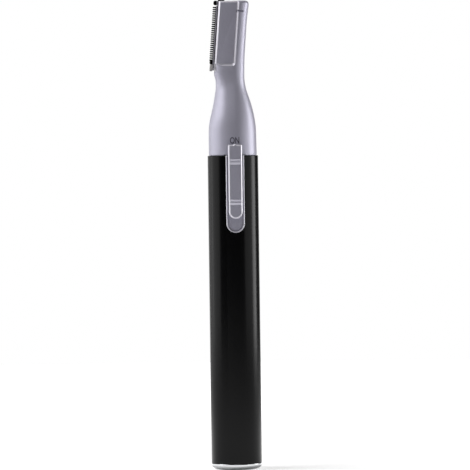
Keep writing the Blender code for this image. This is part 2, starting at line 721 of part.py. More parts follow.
def make_armature(steel):
    """A core of round poles with a slot between each two, bored for the shaft."""
    radius = magnet_radius() - MAGNET_THICKNESS - ARMATURE_AIR_GAP
    middle = (MOTOR_BOTTOM + MOTOR_BELL_HEIGHT + MOTOR_TOP) / 2
    low, high = middle - ARMATURE_LENGTH / 2, middle + ARMATURE_LENGTH / 2
    half_slot = math.degrees(math.asin(ARMATURE_SLOT / 2 / radius))
    pitch = 360 / ARMATURE_POLES
    root = SHAFT_RADIUS + SEAT_GAP + ARMATURE_SLOT
    outline = []
    for pole in range(ARMATURE_POLES):
        start = pole * pitch
        outline += arc((0, 0), radius, start + half_slot, start + pitch - half_slot, SMALL_STEPS // 2)
        angle = math.radians(start + pitch)
        outline.append((root * math.cos(angle), root * math.sin(angle)))
    armature = place("motor_armature", prism(outline, low, high, "Z"), steel)
    bore = arc((0, 0), SHAFT_RADIUS + SEAT_GAP, 0, 360, SMALL_STEPS)[:-1]
    combine(armature, "bore", prism(bore, low - OVERRUN, high + OVERRUN, "Z"), "DIFFERENCE")


def make_commutator(copper):
    bore = SHAFT_RADIUS + SEAT_GAP
    low = MOTOR_BOTTOM + MOTOR_BELL_HEIGHT + SEAT_GAP
    high = low + COMMUTATOR_HEIGHT
    profile = [(bore, low), (COMMUTATOR_RADIUS, low), (COMMUTATOR_RADIUS, high), (bore, high)]
    place("motor_commutator", turned(profile, SMALL_STEPS, whole=False), copper)


def make_eccentric(plastic):
    """A disc pressed on the shaft, with the drive pin off its centre towards the front."""
    profile = [
        (0, ECCENTRIC_BOTTOM),
        (ECCENTRIC_RADIUS, ECCENTRIC_BOTTOM),
        (ECCENTRIC_RADIUS, ECCENTRIC_TOP),
        (0, ECCENTRIC_TOP),
    ]
    eccentric = place("eccentric", turned(profile, ROUND_STEPS), plastic)
    pin = arc((0, -THROW), DRIVE_PIN_RADIUS, 0, 360, SMALL_STEPS)[:-1]
    pin_shape = prism(pin, ECCENTRIC_TOP - ECCENTRIC_ROOF / 2, DRIVE_PIN_TOP, "Z")
    combine(eccentric, "drive_pin", pin_shape, "UNION")
    bore = arc((0, 0), SHAFT_RADIUS + SEAT_GAP, 0, 360, SMALL_STEPS)[:-1]
    roof = ECCENTRIC_TOP - ECCENTRIC_ROOF
    combine(eccentric, "bore", prism(bore, ECCENTRIC_BOTTOM - OVERRUN, roof, "Z"), "DIFFERENCE")


# Chassis and switch


def make_chassis(plastic):
    """A cradle in the barrel: floor on the cell's contact, wiring bay, motor pocket, open front."""
    profile = [
        (0, CHASSIS_BOTTOM),
        (LINER_OUTER_RADIUS, CHASSIS_BOTTOM),
        (LINER_OUTER_RADIUS, CHASSIS_TOP),
        (0, CHASSIS_TOP),
    ]
    chassis = place("chassis", turned(profile, ROUND_STEPS), plastic)
    bay_floor = CHASSIS_BOTTOM + CHASSIS_FLOOR
    half = CHANNEL_HALF_WIDTH
    bay = box((-half, -BARREL_RADIUS, bay_floor), (half, WIRING_BAY_REAR, MOTOR_LEDGE + OVERRUN))
    combine(chassis, "wiring_bay", bay, "DIFFERENCE")
    outline = can_outline(MOTOR_DIAMETER / 2 + SEAT_GAP, MOTOR_FLATS + 2 * SEAT_GAP)
    pocket = prism(outline, MOTOR_LEDGE, CHASSIS_TOP + OVERRUN, "Z")
    combine(chassis, "motor_pocket", pocket, "DIFFERENCE")
    channel = box((-half, -BARREL_RADIUS, MOTOR_LEDGE), (half, 0, CHASSIS_TOP + OVERRUN))
    combine(chassis, "switch_channel", channel, "DIFFERENCE")
    low, high = strip_span()
    front_slot = box(
        (low - SEAT_GAP, -BARREL_RADIUS, CHASSIS_BOTTOM - OVERRUN),
        (high + SEAT_GAP, -LINER_OUTER_RADIUS + CAP_SPIGOT_WALL, bay_floor + OVERRUN),
    )
    combine(chassis, "front_slot", front_slot, "DIFFERENCE")
    rear_slot = box(
        (
            -STRIP_WIDTH / 2 - SEAT_GAP,
            WIRING_BAY_REAR - STRIP_THICKNESS - 2 * SEAT_GAP,
            CHASSIS_BOTTOM - OVERRUN,
        ),
        (STRIP_WIDTH / 2 + SEAT_GAP, WIRING_BAY_REAR, bay_floor + OVERRUN),
    )
    combine(chassis, "rear_slot", rear_slot, "DIFFERENCE")


def u_outline(half_width, bottom, top):
    """A U lying in the switch face: round at the bottom, square at the top."""
    outline = arc((0, bottom + half_width), half_width, 180, 360, SMALL_STEPS)
    return outline + [(half_width, top), (-half_width, top)]


def make_switch_surround(lavender):
    """The raised U-shaped rim with its recessed floor, and the rails that the carrier runs in."""
    half = SURROUND_WIDTH / 2
    inner = half - SURROUND_RIM
    body = prism(u_outline(half, SURROUND_BOTTOM, BARREL_TOP), -RIM_FRONT - OVERRUN, -CARRIER_BACK, "Y")
    surround = place("switch_surround", body, lavender)
    face = [
        (0, SURROUND_BOTTOM - OVERRUN),
        (RIM_FRONT, SURROUND_BOTTOM - OVERRUN),
        (RIM_FRONT, BARREL_TOP + OVERRUN),
        (0, BARREL_TOP + OVERRUN),
    ]
    combine(surround, "round_face", turned(face, BARREL_STEPS), "INTERSECT")
    recess_bottom = SURROUND_BOTTOM + SURROUND_RIM
    recess = u_outline(inner, recess_bottom, BARREL_TOP + OVERRUN)
    recess_shape = prism(recess, -RIM_FRONT - OVERRUN, -FLOOR_FRONT, "Y")
    combine(surround, "recess", recess_shape, "DIFFERENCE")
    carrier_room = prism(
        u_outline(inner, recess_bottom - OVERRUN, BARREL_TOP + OVERRUN),
        -FLOOR_BACK,
        -CARRIER_BACK + OVERRUN,
        "Y",
    )
    combine(surround, "carrier_room", carrier_room, "DIFFERENCE")
    stem_slot = box(
        (
            -STEM_WIDTH / 2 - SEAT_GAP,
            -FLOOR_FRONT - OVERRUN,
            STEM_TOP - STEM_LENGTH - BUTTON_TRAVEL - SEAT_GAP,
        ),
        (STEM_WIDTH / 2 + SEAT_GAP, -FLOOR_BACK + OVERRUN, STEM_TOP + SEAT_GAP),
    )
    combine(surround, "stem_slot", stem_slot, "DIFFERENCE")


def button_ring(depth, shrink):
    """The button's outline at one depth, drawn in by shrink: square top with a small nub."""
    half = BUTTON_HALF_WIDTH
    outline = arc((0, BUTTON_BOTTOM + half), half - shrink, 180, 360, SMALL_STEPS)
    top = BUTTON_TOP - shrink
    outline += [
        (half - shrink, top),
        (BUTTON_NUB_WIDTH / 2, top),
        (BUTTON_NUB_WIDTH / 4, top + BUTTON_NUB_RISE),
        (-BUTTON_NUB_WIDTH / 4, top + BUTTON_NUB_RISE),
        (-BUTTON_NUB_WIDTH / 2, top),
        (-half + shrink, top),
    ]
    return [(across, depth, up) for across, up in outline]


def make_slide_button(lavender):
    """The slide button: a bevelled plate over neck and recess, two pairs of grip ribs, a stem."""
    rings = [
        button_ring(-PLATE_BACK, 0),
        button_ring(-PLATE_FRONT + BUTTON_EDGE, 0),
        button_ring(-PLATE_FRONT, BUTTON_EDGE),
    ]
    button = place("slide_button", lofted(rings), lavender)
    half = BUTTON_HALF_WIDTH
    skirt = prism(
        u_outline(half, BUTTON_BOTTOM, BARREL_TOP - SEAT_GAP),
        -PLATE_BACK - BUTTON_EDGE,
        -PLATE_BACK + BUTTON_SKIRT - SEAT_GAP,
        "Y",
    )
    combine(button, "skirt", skirt, "UNION")
    stem = box(
        (-STEM_WIDTH / 2, -PLATE_BACK - BUTTON_EDGE, STEM_TOP - STEM_LENGTH),
        (STEM_WIDTH / 2, -CARRIER_FRONT - SEAT_GAP, STEM_TOP),
    )
    combine(button, "stem", stem, "UNION")
    width = half - BUTTON_EDGE
    groups = (BUTTON_TOP - UPPER_RIBS_BELOW_TOP, BUTTON_BOTTOM + LOWER_RIBS_ABOVE_END)
    for group, centre in enumerate(groups):
        for side in (-1, 1):
            middle = centre + side * RIB_PITCH / 2
            section = [
                (-PLATE_FRONT + BUTTON_EDGE, middle - RIB_WIDTH / 2),
                (-PLATE_FRONT, middle - RIB_WIDTH / 2),
                (-PLATE_FRONT - RIB_HEIGHT, middle),
                (-PLATE_FRONT, middle + RIB_WIDTH / 2),
                (-PLATE_FRONT + BUTTON_EDGE, middle + RIB_WIDTH / 2),
            ]
            name = f"rib_{group}_{'low' if side < 0 else 'high'}"
            combine(button, name, prism(section, -width, width, "X"), "UNION")


def make_switch_carrier(plastic):
    """The block behind the surround's floor that the stem pushes."""
    half = SURROUND_WIDTH / 2 - SURROUND_RIM - SEAT_GAP
    low = -half, -CARRIER_FRONT, CARRIER_BOTTOM
    high = half, -CARRIER_BACK, CARRIER_BOTTOM + CARRIER_LENGTH
    place("switch_carrier", box(low, high), plastic)


def make_moving_contact(brass):
    """A bowed leaf on the carrier's back that bridges the two strips."""
    front = LEAF_FRONT - LEAF_THICKNESS / 2
    path = [
        (-front, LEAF_MIDDLE - LEAF_HEIGHT / 2),
        (-front, LEAF_MIDDLE - LEAF_HEIGHT / 3),
        (-front + LEAF_RISE, LEAF_MIDDLE),
        (-front, LEAF_MIDDLE + LEAF_HEIGHT / 3),
        (-front, LEAF_MIDDLE + LEAF_HEIGHT / 2),
    ]
    shape = prism(ribbon(path, LEAF_THICKNESS), -LEAF_WIDTH / 2, LEAF_WIDTH / 2, "X")
    place("moving_contact", shape, brass)


# Head shell


def panel_line(height):
    """Where the cassette's right edge stands at a height."""
    up = height - CASSETTE_CORNER_PLACE.z
    return -CASSETTE_LEFT_OF_AXIS + CASSETTE_WIDTH + up * math.tan(BLADE_LEAN)


def shell_sections():
    """Each section's height, left reach, right reach, half depth and squareness share."""
    half_head = HEAD_THICKNESS / 2
    waist_left = CASSETTE_LEFT_OF_AXIS - WAIST_INSIDE_EDGE
    head_left = CASSETTE_LEFT_OF_AXIS + HEAD_PAST_EDGE
    waist_right = panel_line(WAIST_HEIGHT) + WAIST_PAST_PANEL
    head_right = panel_line(HEAD_TOP) + HEAD_PAST_PANEL
    for share, left, right, depth, flare, square in NECK_SHARES:
        yield (
            BARREL_TOP + share * NECK_LENGTH if share > NECK_SHARES[0][0] else NECK_BOTTOM,
            mix(NECK_RADIUS, waist_left, left) + (head_left - waist_left) * flare,
            mix(NECK_RADIUS, waist_right, right),
            mix(NECK_RADIUS, half_head, depth),
            square,
        )
    for share, right, depth in HEAD_SHARES:
        yield (
            mix(WAIST_HEIGHT, HEAD_TOP, share),
            head_left,
            mix(waist_right, head_right, right),
            mix(NECK_RADIUS, half_head, depth),
            1.0,
        )


def section_ring(height, left, right, depth, square, inset):
    """A closed section: round on the right, squarer on the left as the head begins."""
    centre = panel_line(height) * square
    points = []
    for step in range(SHELL_STEPS):
        angle = 2 * math.pi * step / SHELL_STEPS
        across, along = math.cos(angle), math.sin(angle)
        to_left = across < 0
        power = mix(ROUND_POWER, SQUARE_POWER, square) if to_left else ROUND_POWER
        reach = left + centre - inset if to_left else right - centre - inset
        x = centre + math.copysign(abs(across) ** (2 / power), across) * reach
        y = math.copysign(abs(along) ** (2 / power), along) * (depth - inset)
        points.append((x, y, height))
    return points


def shell_outside():
    """Rings from the spigot in the barrel up the neck to the rounded top of the head."""
    spigot = LINER_OUTER_RADIUS
    rings = [
        section_ring(height, spigot, spigot, spigot, 0, 0)
        for height in (SHELL_SPIGOT_BOTTOM, NECK_BOTTOM)
    ]
    sections = list(shell_sections())
    rings += [section_ring(*section, 0) for section in sections]
    low = HEAD_TOP - HEAD_EDGE_RADIUS
    for step in range(HEAD_EDGE_STEPS + 1):
        angle = math.pi / 2 * step / HEAD_EDGE_STEPS
        height = low + HEAD_EDGE_RADIUS * math.sin(angle)
        inset = HEAD_EDGE_RADIUS * (1 - math.cos(angle))
        rings.append(section_ring(height, *sections[-1][1:], inset))
    return lofted(rings)


def shell_hollow():
    """The room inside the spigot and the neck, up to where the head cavity takes over."""
    bore = LINER_OUTER_RADIUS - SHELL_WALL
    rings = [
        section_ring(height, bore, bore, bore, 0, 0)
        for height in (SHELL_SPIGOT_BOTTOM - OVERRUN, NECK_BOTTOM)
    ]
    limit = CASSETTE_CORNER_PLACE.z - SHELL_WALL
    rings += [section_ring(*section, SHELL_WALL) for section in shell_sections() if section[0] < limit]
    return lofted(rings)


def make_shell_half(name, side, lavender):
    """Half of the neck and head shell, side -1 at the front and +1 at the back."""
    shell = place(name, shell_outside(), lavender)
    surround_room = box(
        (-CHANNEL_HALF_WIDTH, -BARREL_RADIUS, SHELL_SPIGOT_BOTTOM - OVERRUN),
        (CHANNEL_HALF_WIDTH, 0, NECK_BOTTOM),
    )
    combine(shell, "surround_room", surround_room, "DIFFERENCE")
    combine(shell, "hollow", shell_hollow(), "DIFFERENCE")
    gap = SEAT_GAP
    seat_right = CASSETTE_WIDTH + gap
    half_facet = 180 / SMALL_STEPS
    head_cavity = box(
        (CASSETTE_CAVITY_LEFT, -HEAD_CAVITY_DEPTH / 2, -CASSETTE_ABOVE_WAIST),
        (
            CASSETTE_WIDTH + HEAD_CAVITY_PAST_CASSETTE,
            HEAD_CAVITY_DEPTH / 2,
            CASSETTE_LENGTH - HEAD_CAVITY_BELOW_TOP,
        ),
    )
    pin_middle = (PIVOT_ACROSS, DRIVE_ABOVE_CASSETTE)
    pin_room = ROCKER_PIN_RADIUS + gap
    pin_outline = arc(pin_middle, pin_room, half_facet, 360 + half_facet, SMALL_STEPS)[:-1]
    pin_seats = prism(pin_outline, -PIN_SEAT_FLOOR, PIN_SEAT_FLOOR, "Y")
    cassette_seat = box(
        (-CASSETTE_WIDTH, -HEAD_THICKNESS, -gap),
        (seat_right, HEAD_THICKNESS, CASSETTE_LENGTH + 3 * OVERRUN),
    )
    tongue = box(
        (TONGUE_FROM_EDGE, -TONGUE_FACE, -gap - OVERRUN),
        (seat_right + OVERRUN, TONGUE_FACE, TONGUE_TOP),
    )
    notch_low = CASSETTE_LENGTH - THUMB_NOTCH_BELOW_TOP
    notch_ends = sorted(
        (side * (HEAD_THICKNESS / 2 - THUMB_NOTCH_DEPTH), side * (HEAD_THICKNESS / 2 + OVERRUN))
    )
    thumb_notch = box(
        (CASSETTE_WIDTH - OVERRUN, notch_ends[0], notch_low),
        (seat_right + THUMB_NOTCH_LENGTH, notch_ends[1], notch_low + THUMB_NOTCH_HEIGHT),
    )
    cavity = combine(shell, "head_cavity", head_cavity, "DIFFERENCE")
    combine(cavity, "pin_seats", pin_seats, "UNION")
    seat = combine(shell, "cassette_seat", cassette_seat, "DIFFERENCE")
    combine(seat, "tongue", tongue, "DIFFERENCE")
    combine(seat, "thumb_notch", thumb_notch, "UNION")
    for tool in (cavity, seat):
        tool.location = CASSETTE_CORNER_PLACE
        tool.rotation_euler = (0, BLADE_LEAN, 0)
    beyond = 2 * BARREL_RADIUS
    ends = sorted((side * gap / 2, side * beyond))
    half = box((-beyond, ends[0], 0), (beyond, ends[1], HEAD_TOP + OVERRUN))
    combine(shell, "half", half, "INTERSECT")


# Blade cassette


def make_cassette(lavender, head):
    """The holder of the blades: two cheeks over the head's tongue, joined along the blade edge."""
    half = HEAD_THICKNESS / 2
    left = -CASSETTE_BEVEL / 2
    outline = [
        (left, 0),
        (CASSETTE_WIDTH - CASSETTE_CORNER, 0),
        (CASSETTE_WIDTH, CASSETTE_CORNER),
        (CASSETTE_WIDTH, CASSETTE_LENGTH),
        (left, CASSETTE_LENGTH),
    ]
    cassette = place("blade_cassette", prism(outline, -half, half, "Y"), lavender, head)
    profile = [
        (left + CASSETTE_BEVEL, -half),
        (CASSETTE_WIDTH + OVERRUN, -half),
        (CASSETTE_WIDTH + OVERRUN, half),
        (left + CASSETTE_BEVEL, half),
        (left, half - CASSETTE_BEVEL),
        (left, -half + CASSETTE_BEVEL),
    ]
    bevelled = prism(profile, -OVERRUN, CASSETTE_LENGTH + OVERRUN, "Z")
    combine(cassette, "edge_bevels", bevelled, "INTERSECT")
    cavity = box(
        (CASSETTE_CAVITY_LEFT, -CHEEK_INNER, CASSETTE_WALL),
        (CASSETTE_WIDTH + OVERRUN, CHEEK_INNER, CASSETTE_LENGTH - CASSETTE_WALL),
    )
    combine(cassette, "cavity", cavity, "DIFFERENCE")
    mouth = box(
        (TONGUE_FROM_EDGE - SEAT_GAP, -CHEEK_INNER, -OVERRUN),
        (CASSETTE_WIDTH + OVERRUN, CHEEK_INNER, CASSETTE_WALL + OVERRUN),
    )
    combine(cassette, "mouth", mouth, "DIFFERENCE")
    blade_slot = box(
        (left - OVERRUN, COMB_FRONT - SEAT_GAP, COMB_BODY_UP - SEAT_GAP),
        (COMB_TAB_WIDTH + SEAT_GAP, CUTTER_BACK + SEAT_GAP, CASSETTE_LENGTH + OVERRUN),
    )
    combine(cassette, "blade_slot", blade_slot, "DIFFERENCE")


def tooth(centre, root, length):
    """One tooth pointing away from the head: a taper with a blunt, softened tip."""
    tip = root - length
    shoulder = tip + TOOTH_TIP_WIDTH / 2
    return [
        (root, centre - TOOTH_ROOT_WIDTH / 2),
        (shoulder, centre - TOOTH_TIP_WIDTH / 2),
        (tip, centre - TOOTH_TIP_WIDTH / 4),
        (tip, centre + TOOTH_TIP_WIDTH / 4),
        (shoulder, centre + TOOTH_TIP_WIDTH / 2),
        (root, centre + TOOTH_ROOT_WIDTH / 2),
    ]


def tooth_centres():
    return [FIRST_TOOTH_UP + index * TOOTH_PITCH for index in range(TOOTH_COUNT)]


def end_tooth(centre, inner_low, inner_high):
    """A stout round-ended tooth that guards an end of the comb."""
    middle = (END_TOOTH_CENTRE, centre)
    tip = arc(middle, END_TOOTH_HEIGHT / 2, 270, 90, END_TOOTH_STEPS)
    low = (inner_low, centre - END_TOOTH_HEIGHT / 2)
    high = (inner_high, centre + END_TOOTH_HEIGHT / 2)
    return [low, *tip, high]


def make_comb(steel, head):
    """The fixed comb, whose teeth stand out past the cassette's edge."""
    root = -COMB_ROOT_OUT
    beside_wall = -CASSETTE_BEVEL / 2 - SEAT_GAP
    low_tooth, high_tooth = END_TOOTH_UP
    outline = [(COMB_WIDTH_INSIDE, COMB_BODY_UP), (beside_wall, COMB_BODY_UP)]
    outline += end_tooth(low_tooth, beside_wall, root)
    for centre in tooth_centres():
        outline += tooth(centre, root, COMB_TOOTH_LENGTH)
    outline += end_tooth(high_tooth, root, beside_wall)
    tab_top = CASSETTE_LENGTH + COMB_TAB_RISE
    outline += [
        (beside_wall, tab_top),
        (COMB_TAB_WIDTH, tab_top),
        (COMB_TAB_WIDTH, TONGUE_TOP),
        (COMB_WIDTH_INSIDE, TONGUE_TOP),
    ]
    place("fixed_comb", prism(outline, COMB_FRONT, COMB_BACK, "Y"), steel, head)


def make_comb_guard(steel, head):
    """The small block that closes the comb's lower end."""
    right = -CASSETTE_BEVEL / 2 - SEAT_GAP
    top = END_TOOTH_UP[0] - END_TOOTH_HEIGHT / 2 - SEAT_GAP
    left, low = right - GUARD_WIDTH, top - GUARD_HEIGHT
    edge = GUARD_EDGE
    outline = [
        (left + edge, low),
        (right, low),
        (right, top),
        (left + edge, top),
        (left, top - edge),
        (left, low + edge),
    ]
    middle = (COMB_FRONT + COMB_BACK) / 2
    shape = prism(outline, middle - GUARD_DEPTH / 2, middle + GUARD_DEPTH / 2, "Y")
    place("comb_guard", shape, steel, head)


def make_cutter(steel, head):
    """The moving cutter, its teeth shorter than the comb's so that skin meets the comb first."""
    root = -COMB_ROOT_OUT
    low = FIRST_TOOTH_UP - CUTTER_MARGIN
    high = LAST_TOOTH_UP + CUTTER_MARGIN
    outline = [(CUTTER_WIDTH_INSIDE, low), (root, low)]
    for centre in tooth_centres():
        outline += tooth(centre, root, CUTTER_TOOTH_LENGTH)
    outline += [(root, high), (CUTTER_WIDTH_INSIDE, high)]
    place("moving_cutter", prism(outline, CUTTER_FRONT, CUTTER_BACK, "Y"), steel, head)


def make_cutter_block(plastic, head):
    """The block on the cutter, with a slot for the rocker's tip open away from the blade."""
    left = CASSETTE_CAVITY_LEFT + SEAT_GAP
    notch = left + BLOCK_WEB
    jaw = TIP_RADIUS + SEAT_GAP
    right = left + BLOCK_WIDTH
    middle = DRIVE_ABOVE_CASSETTE
    outline = [
        (left, middle - jaw - BLOCK_LUG),
        (right, middle - jaw - BLOCK_LUG),
        (right, middle - jaw),
        (notch, middle - jaw),
        (notch, middle + jaw),
        (right, middle + jaw),
        (right, middle + jaw + BLOCK_LUG),
        (left, middle + jaw + BLOCK_LUG),
    ]
    place("cutter_block", prism(outline, BLOCK_FRONT, BLOCK_BACK, "Y"), plastic, head)


def make_cutter_spring(steel, head):
    """A bowed leaf between the rear cheek and the cutter block, pressing cutter on comb."""
    cheek = CHEEK_INNER - SEAT_GAP - LEAF_SPRING_THICKNESS / 2
    block = BLOCK_BACK + SEAT_GAP + LEAF_SPRING_THICKNESS / 2
    bottom = CASSETTE_WALL + SEAT_GAP
    path = []
    for step in range(LEAF_SPRING_STEPS + 1):
        share = step / LEAF_SPRING_STEPS
        bow = math.sin(math.pi * share)
        path.append((mix(cheek, block, bow), bottom + share * LEAF_SPRING_LENGTH))
    left = CASSETTE_CAVITY_LEFT + SEAT_GAP
    shape = prism(ribbon(path, LEAF_SPRING_THICKNESS), left, left + LEAF_SPRING_WIDTH, "X")
    place("cutter_spring", shape, steel, head)


# Rocker


def make_rocker_pin(steel, pivot):
    reach = PIN_SEAT_FLOOR - SEAT_GAP
    outline = arc((0, 0), ROCKER_PIN_RADIUS, 0, 360, SMALL_STEPS)[:-1]
    place("rocker_pin", prism(outline, -reach, reach, "Y"), steel, pivot)


def make_rocker(plastic, pivot):
    """A bell crank: a long arm down to the fork round the drive pin, a short arm to the blade."""
    hub_reach = HEAD_CAVITY_DEPTH / 2 - SEAT_GAP
    hub_outline = arc((0, 0), HUB_RADIUS, 0, 360, SMALL_STEPS)[:-1]
    rocker = place("rocker", prism(hub_outline, -hub_reach, hub_reach, "Y"), plastic, pivot)
    half = LEVER_THICKNESS / 2
    bridge_top = DRIVE_PIN_TOP + SEAT_GAP + FORK_BRIDGE - PIVOT_PLACE.z
    bridge_low = DRIVE_PIN_TOP + SEAT_GAP - PIVOT_PLACE.z
    fork_low = ECCENTRIC_TOP + FORK_LIFT - PIVOT_PLACE.z
    fork_centre = -PIVOT_PLACE.x
    arm = [
        (-LEVER_TOP_WIDTH / 2, 0),
        (fork_centre - LEVER_LOW_WIDTH / 2, bridge_low + FORK_BRIDGE / 2),
        (fork_centre + LEVER_LOW_WIDTH / 2, bridge_low + FORK_BRIDGE / 2),
        (LEVER_TOP_WIDTH / 2, 0),
    ]
    combine(rocker, "long_arm", prism(arm, -half, half, "Y"), "UNION")
    room = 2 * THROW + DRIVE_PIN_RADIUS + FORK_CLEARANCE
    outer = room + FORK_PRONG
    fork = [
        (fork_centre - outer, fork_low),
        (fork_centre - room, fork_low),
        (fork_centre - room, bridge_low),
        (fork_centre + room, bridge_low),
        (fork_centre + room, fork_low),
        (fork_centre + outer, fork_low),
        (fork_centre + outer, bridge_top),
        (fork_centre - outer, bridge_top),
    ]
    combine(rocker, "fork", prism(fork, -FORK_DEPTH / 2, FORK_DEPTH / 2, "Y"), "UNION")
    tip = arc((-ARM_LENGTH, 0), TIP_RADIUS, 90, 270, SMALL_STEPS // 2)
    short_arm = [(0, LEVER_TOP_WIDTH / 2), *tip, (0, -LEVER_TOP_WIDTH / 2)]
    helper = combine(rocker, "short_arm", prism(short_arm, -half, half, "Y"), "UNION")
    helper.rotation_euler = (0, BLADE_LEAN, 0)
    bore = arc((0, 0), ROCKER_PIN_RADIUS + SEAT_GAP, 0, 360, SMALL_STEPS)[:-1]
    reach = hub_reach + OVERRUN
    combine(rocker, "bore", prism(bore, -reach, reach, "Y"), "DIFFERENCE")


def clear_scene():
    for thing in list(bpy.data.objects):
        bpy.data.objects.remove(thing, do_unlink=True)


def main():
    clear_scene()
    black = paint("black anodised aluminium", 0.012, 0.012, 0.012, 0.35, 0.6)
    lavender = paint("lavender grey plastic", 0.19, 0.18, 0.24, 0.25, 0.3)
    chrome = paint("chromed steel", 0.55, 0.55, 0.56, 0.15, 1.0)
    blade = paint("blackened blade steel", 0.01, 0.01, 0.011, 0.35, 0.8)
    steel = paint("bright steel", 0.45, 0.45, 0.46, 0.3, 1.0)
    brass = paint("plated brass", 0.60, 0.45, 0.18, 0.3, 1.0)
    ferrite = paint("ferrite", 0.03, 0.03, 0.03, 0.7)
    plastic = paint("white nylon", 0.75, 0.74, 0.70, 0.5)
    dark_plastic = paint("dark inner plastic", 0.05, 0.05, 0.055, 0.5)

    make_barrel(black)
    make_liner(dark_plastic)
    make_cell(steel)
    make_end_cap(chrome)
    make_battery_spring(steel)
    make_negative_strip(brass)
    make_motor_contact(brass)
    make_positive_contact(brass)
    make_motor_can(steel)
    make_motor_bell(plastic)
    make_magnets(ferrite)
    make_brushes(brass)
    make_motor_bush(brass)
    make_shaft(steel)
    make_armature(steel)
    make_commutator(brass)
    make_eccentric(plastic)
    make_chassis(dark_plastic)
    make_switch_surround(lavender)
    make_slide_button(lavender)
    make_switch_carrier(plastic)
    make_moving_contact(brass)
    make_shell_half("head_shell_front", -1, lavender)
    make_shell_half("head_shell_back", 1, lavender)

    head = frame_at("cassette_frame", CASSETTE_CORNER_PLACE, BLADE_LEAN)
    make_cassette(lavender, head)
    make_comb(blade, head)
    make_comb_guard(steel, head)
    make_cutter(steel, head)
    make_cutter_block(plastic, head)
    make_cutter_spring(steel, head)

    pivot = frame_at("rocker_frame", PIVOT_PLACE)
    make_rocker_pin(steel, pivot)
    make_rocker(plastic, pivot)


main()
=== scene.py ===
"""Looks of an electric eyebrow trimmer: black anodised barrel, lavender head and slide switch, comb blade."""

import math
from functools import partial

import bmesh
import bpy
from bpy.props import FloatProperty, FloatVectorProperty, IntProperty, PointerProperty
from mathutils import Matrix, Vector


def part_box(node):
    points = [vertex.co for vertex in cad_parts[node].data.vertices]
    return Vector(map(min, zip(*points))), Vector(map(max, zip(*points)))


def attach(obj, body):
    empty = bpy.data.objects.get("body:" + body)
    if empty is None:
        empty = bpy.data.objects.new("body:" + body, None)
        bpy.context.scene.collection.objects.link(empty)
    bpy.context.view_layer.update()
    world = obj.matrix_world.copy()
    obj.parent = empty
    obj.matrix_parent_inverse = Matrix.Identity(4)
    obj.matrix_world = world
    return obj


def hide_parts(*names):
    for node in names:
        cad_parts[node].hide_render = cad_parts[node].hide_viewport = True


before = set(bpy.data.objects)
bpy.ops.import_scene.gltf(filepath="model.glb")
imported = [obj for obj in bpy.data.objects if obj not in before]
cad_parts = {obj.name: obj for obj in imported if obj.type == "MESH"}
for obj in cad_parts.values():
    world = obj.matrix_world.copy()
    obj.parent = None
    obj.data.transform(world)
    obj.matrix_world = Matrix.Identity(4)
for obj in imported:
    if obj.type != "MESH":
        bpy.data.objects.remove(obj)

bl_info = {
    "name": "Eyebrow Trimmer",
    "version": (1, 0, 0),
    "blender": (4, 5, 0),
    "location": "3D View > Sidebar > Trimmer",
    "description": "Builds the looks of a pen-shaped eyebrow trimmer over its packed solids",
    "category": "Object",
}

MM = 0.001
PLACE_DECIMALS = 5
# How far a cutting shape runs past the face that it opens.
PAST = 1.0 * MM
# How far two shapes sink into each other before they are joined.
OVERLAP = 0.05 * MM
MERGE_DISTANCE = 0.0001 * MM

ROUND_STEPS = 192
RING_STEPS = 128
ARC_STEPS = 24
FILLET_STEPS = 6
SMOOTH_ANGLE = math.radians(28)
FINE_ANGLE = math.radians(14)

BARREL_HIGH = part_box("barrel_tube")[1]
CAP_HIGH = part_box("end_cap")[1]
HEAD_LOW, HEAD_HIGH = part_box("head_shell_front")
SURROUND_LOW, SURROUND_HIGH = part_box("switch_surround")
BUTTON_LOW, BUTTON_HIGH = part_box("slide_button")

# Each section of the neck: height, left reach, right reach, depth and flare as shares of the way
# from the round neck to the waist of the head, and how square its left side is.
NECK_SHARES = (
    (0.0125, 0.00, 0.00, 0.00, 0.00, 0.00),
    (0.100, 0.00, 0.01, 0.00, 0.00, 0.00),
    (0.210, 0.00, 0.02, 0.01, 0.00, 0.00),
    (0.330, 0.03, 0.04, 0.03, 0.00, 0.00),
    (0.390, 0.09, 0.08, 0.07, 0.00, 0.00),
    (0.442, 0.18, 0.13, 0.12, 0.00, 0.00),
    (0.497, 0.31, 0.20, 0.19, 0.00, 0.00),
    (0.550, 0.45, 0.28, 0.27, 0.00, 0.00),
    (0.606, 0.58, 0.38, 0.36, 0.00, 0.00),
    (0.662, 0.70, 0.49, 0.46, 0.00, 0.00),
    (0.700, 0.77, 0.58, 0.53, 0.00, 0.00),
    (0.738, 0.83, 0.67, 0.60, 0.00, 0.00),
    (0.775, 0.90, 0.76, 0.67, 0.00, 0.00),
    (0.813, 0.96, 0.84, 0.74, 0.00, 0.00),
    (0.848, 0.99, 0.90, 0.80, 0.00, 0.00),
    (0.883, 1.00, 0.95, 0.86, 0.02, 0.01),
    (0.921, 1.00, 0.98, 0.91, 0.12, 0.03),
    (0.958, 1.00, 1.00, 0.95, 0.40, 0.06),
    (0.980, 1.00, 1.00, 0.97, 0.75, 0.08),
    (1.000, 1.00, 1.00, 0.98, 1.00, 0.10),
)
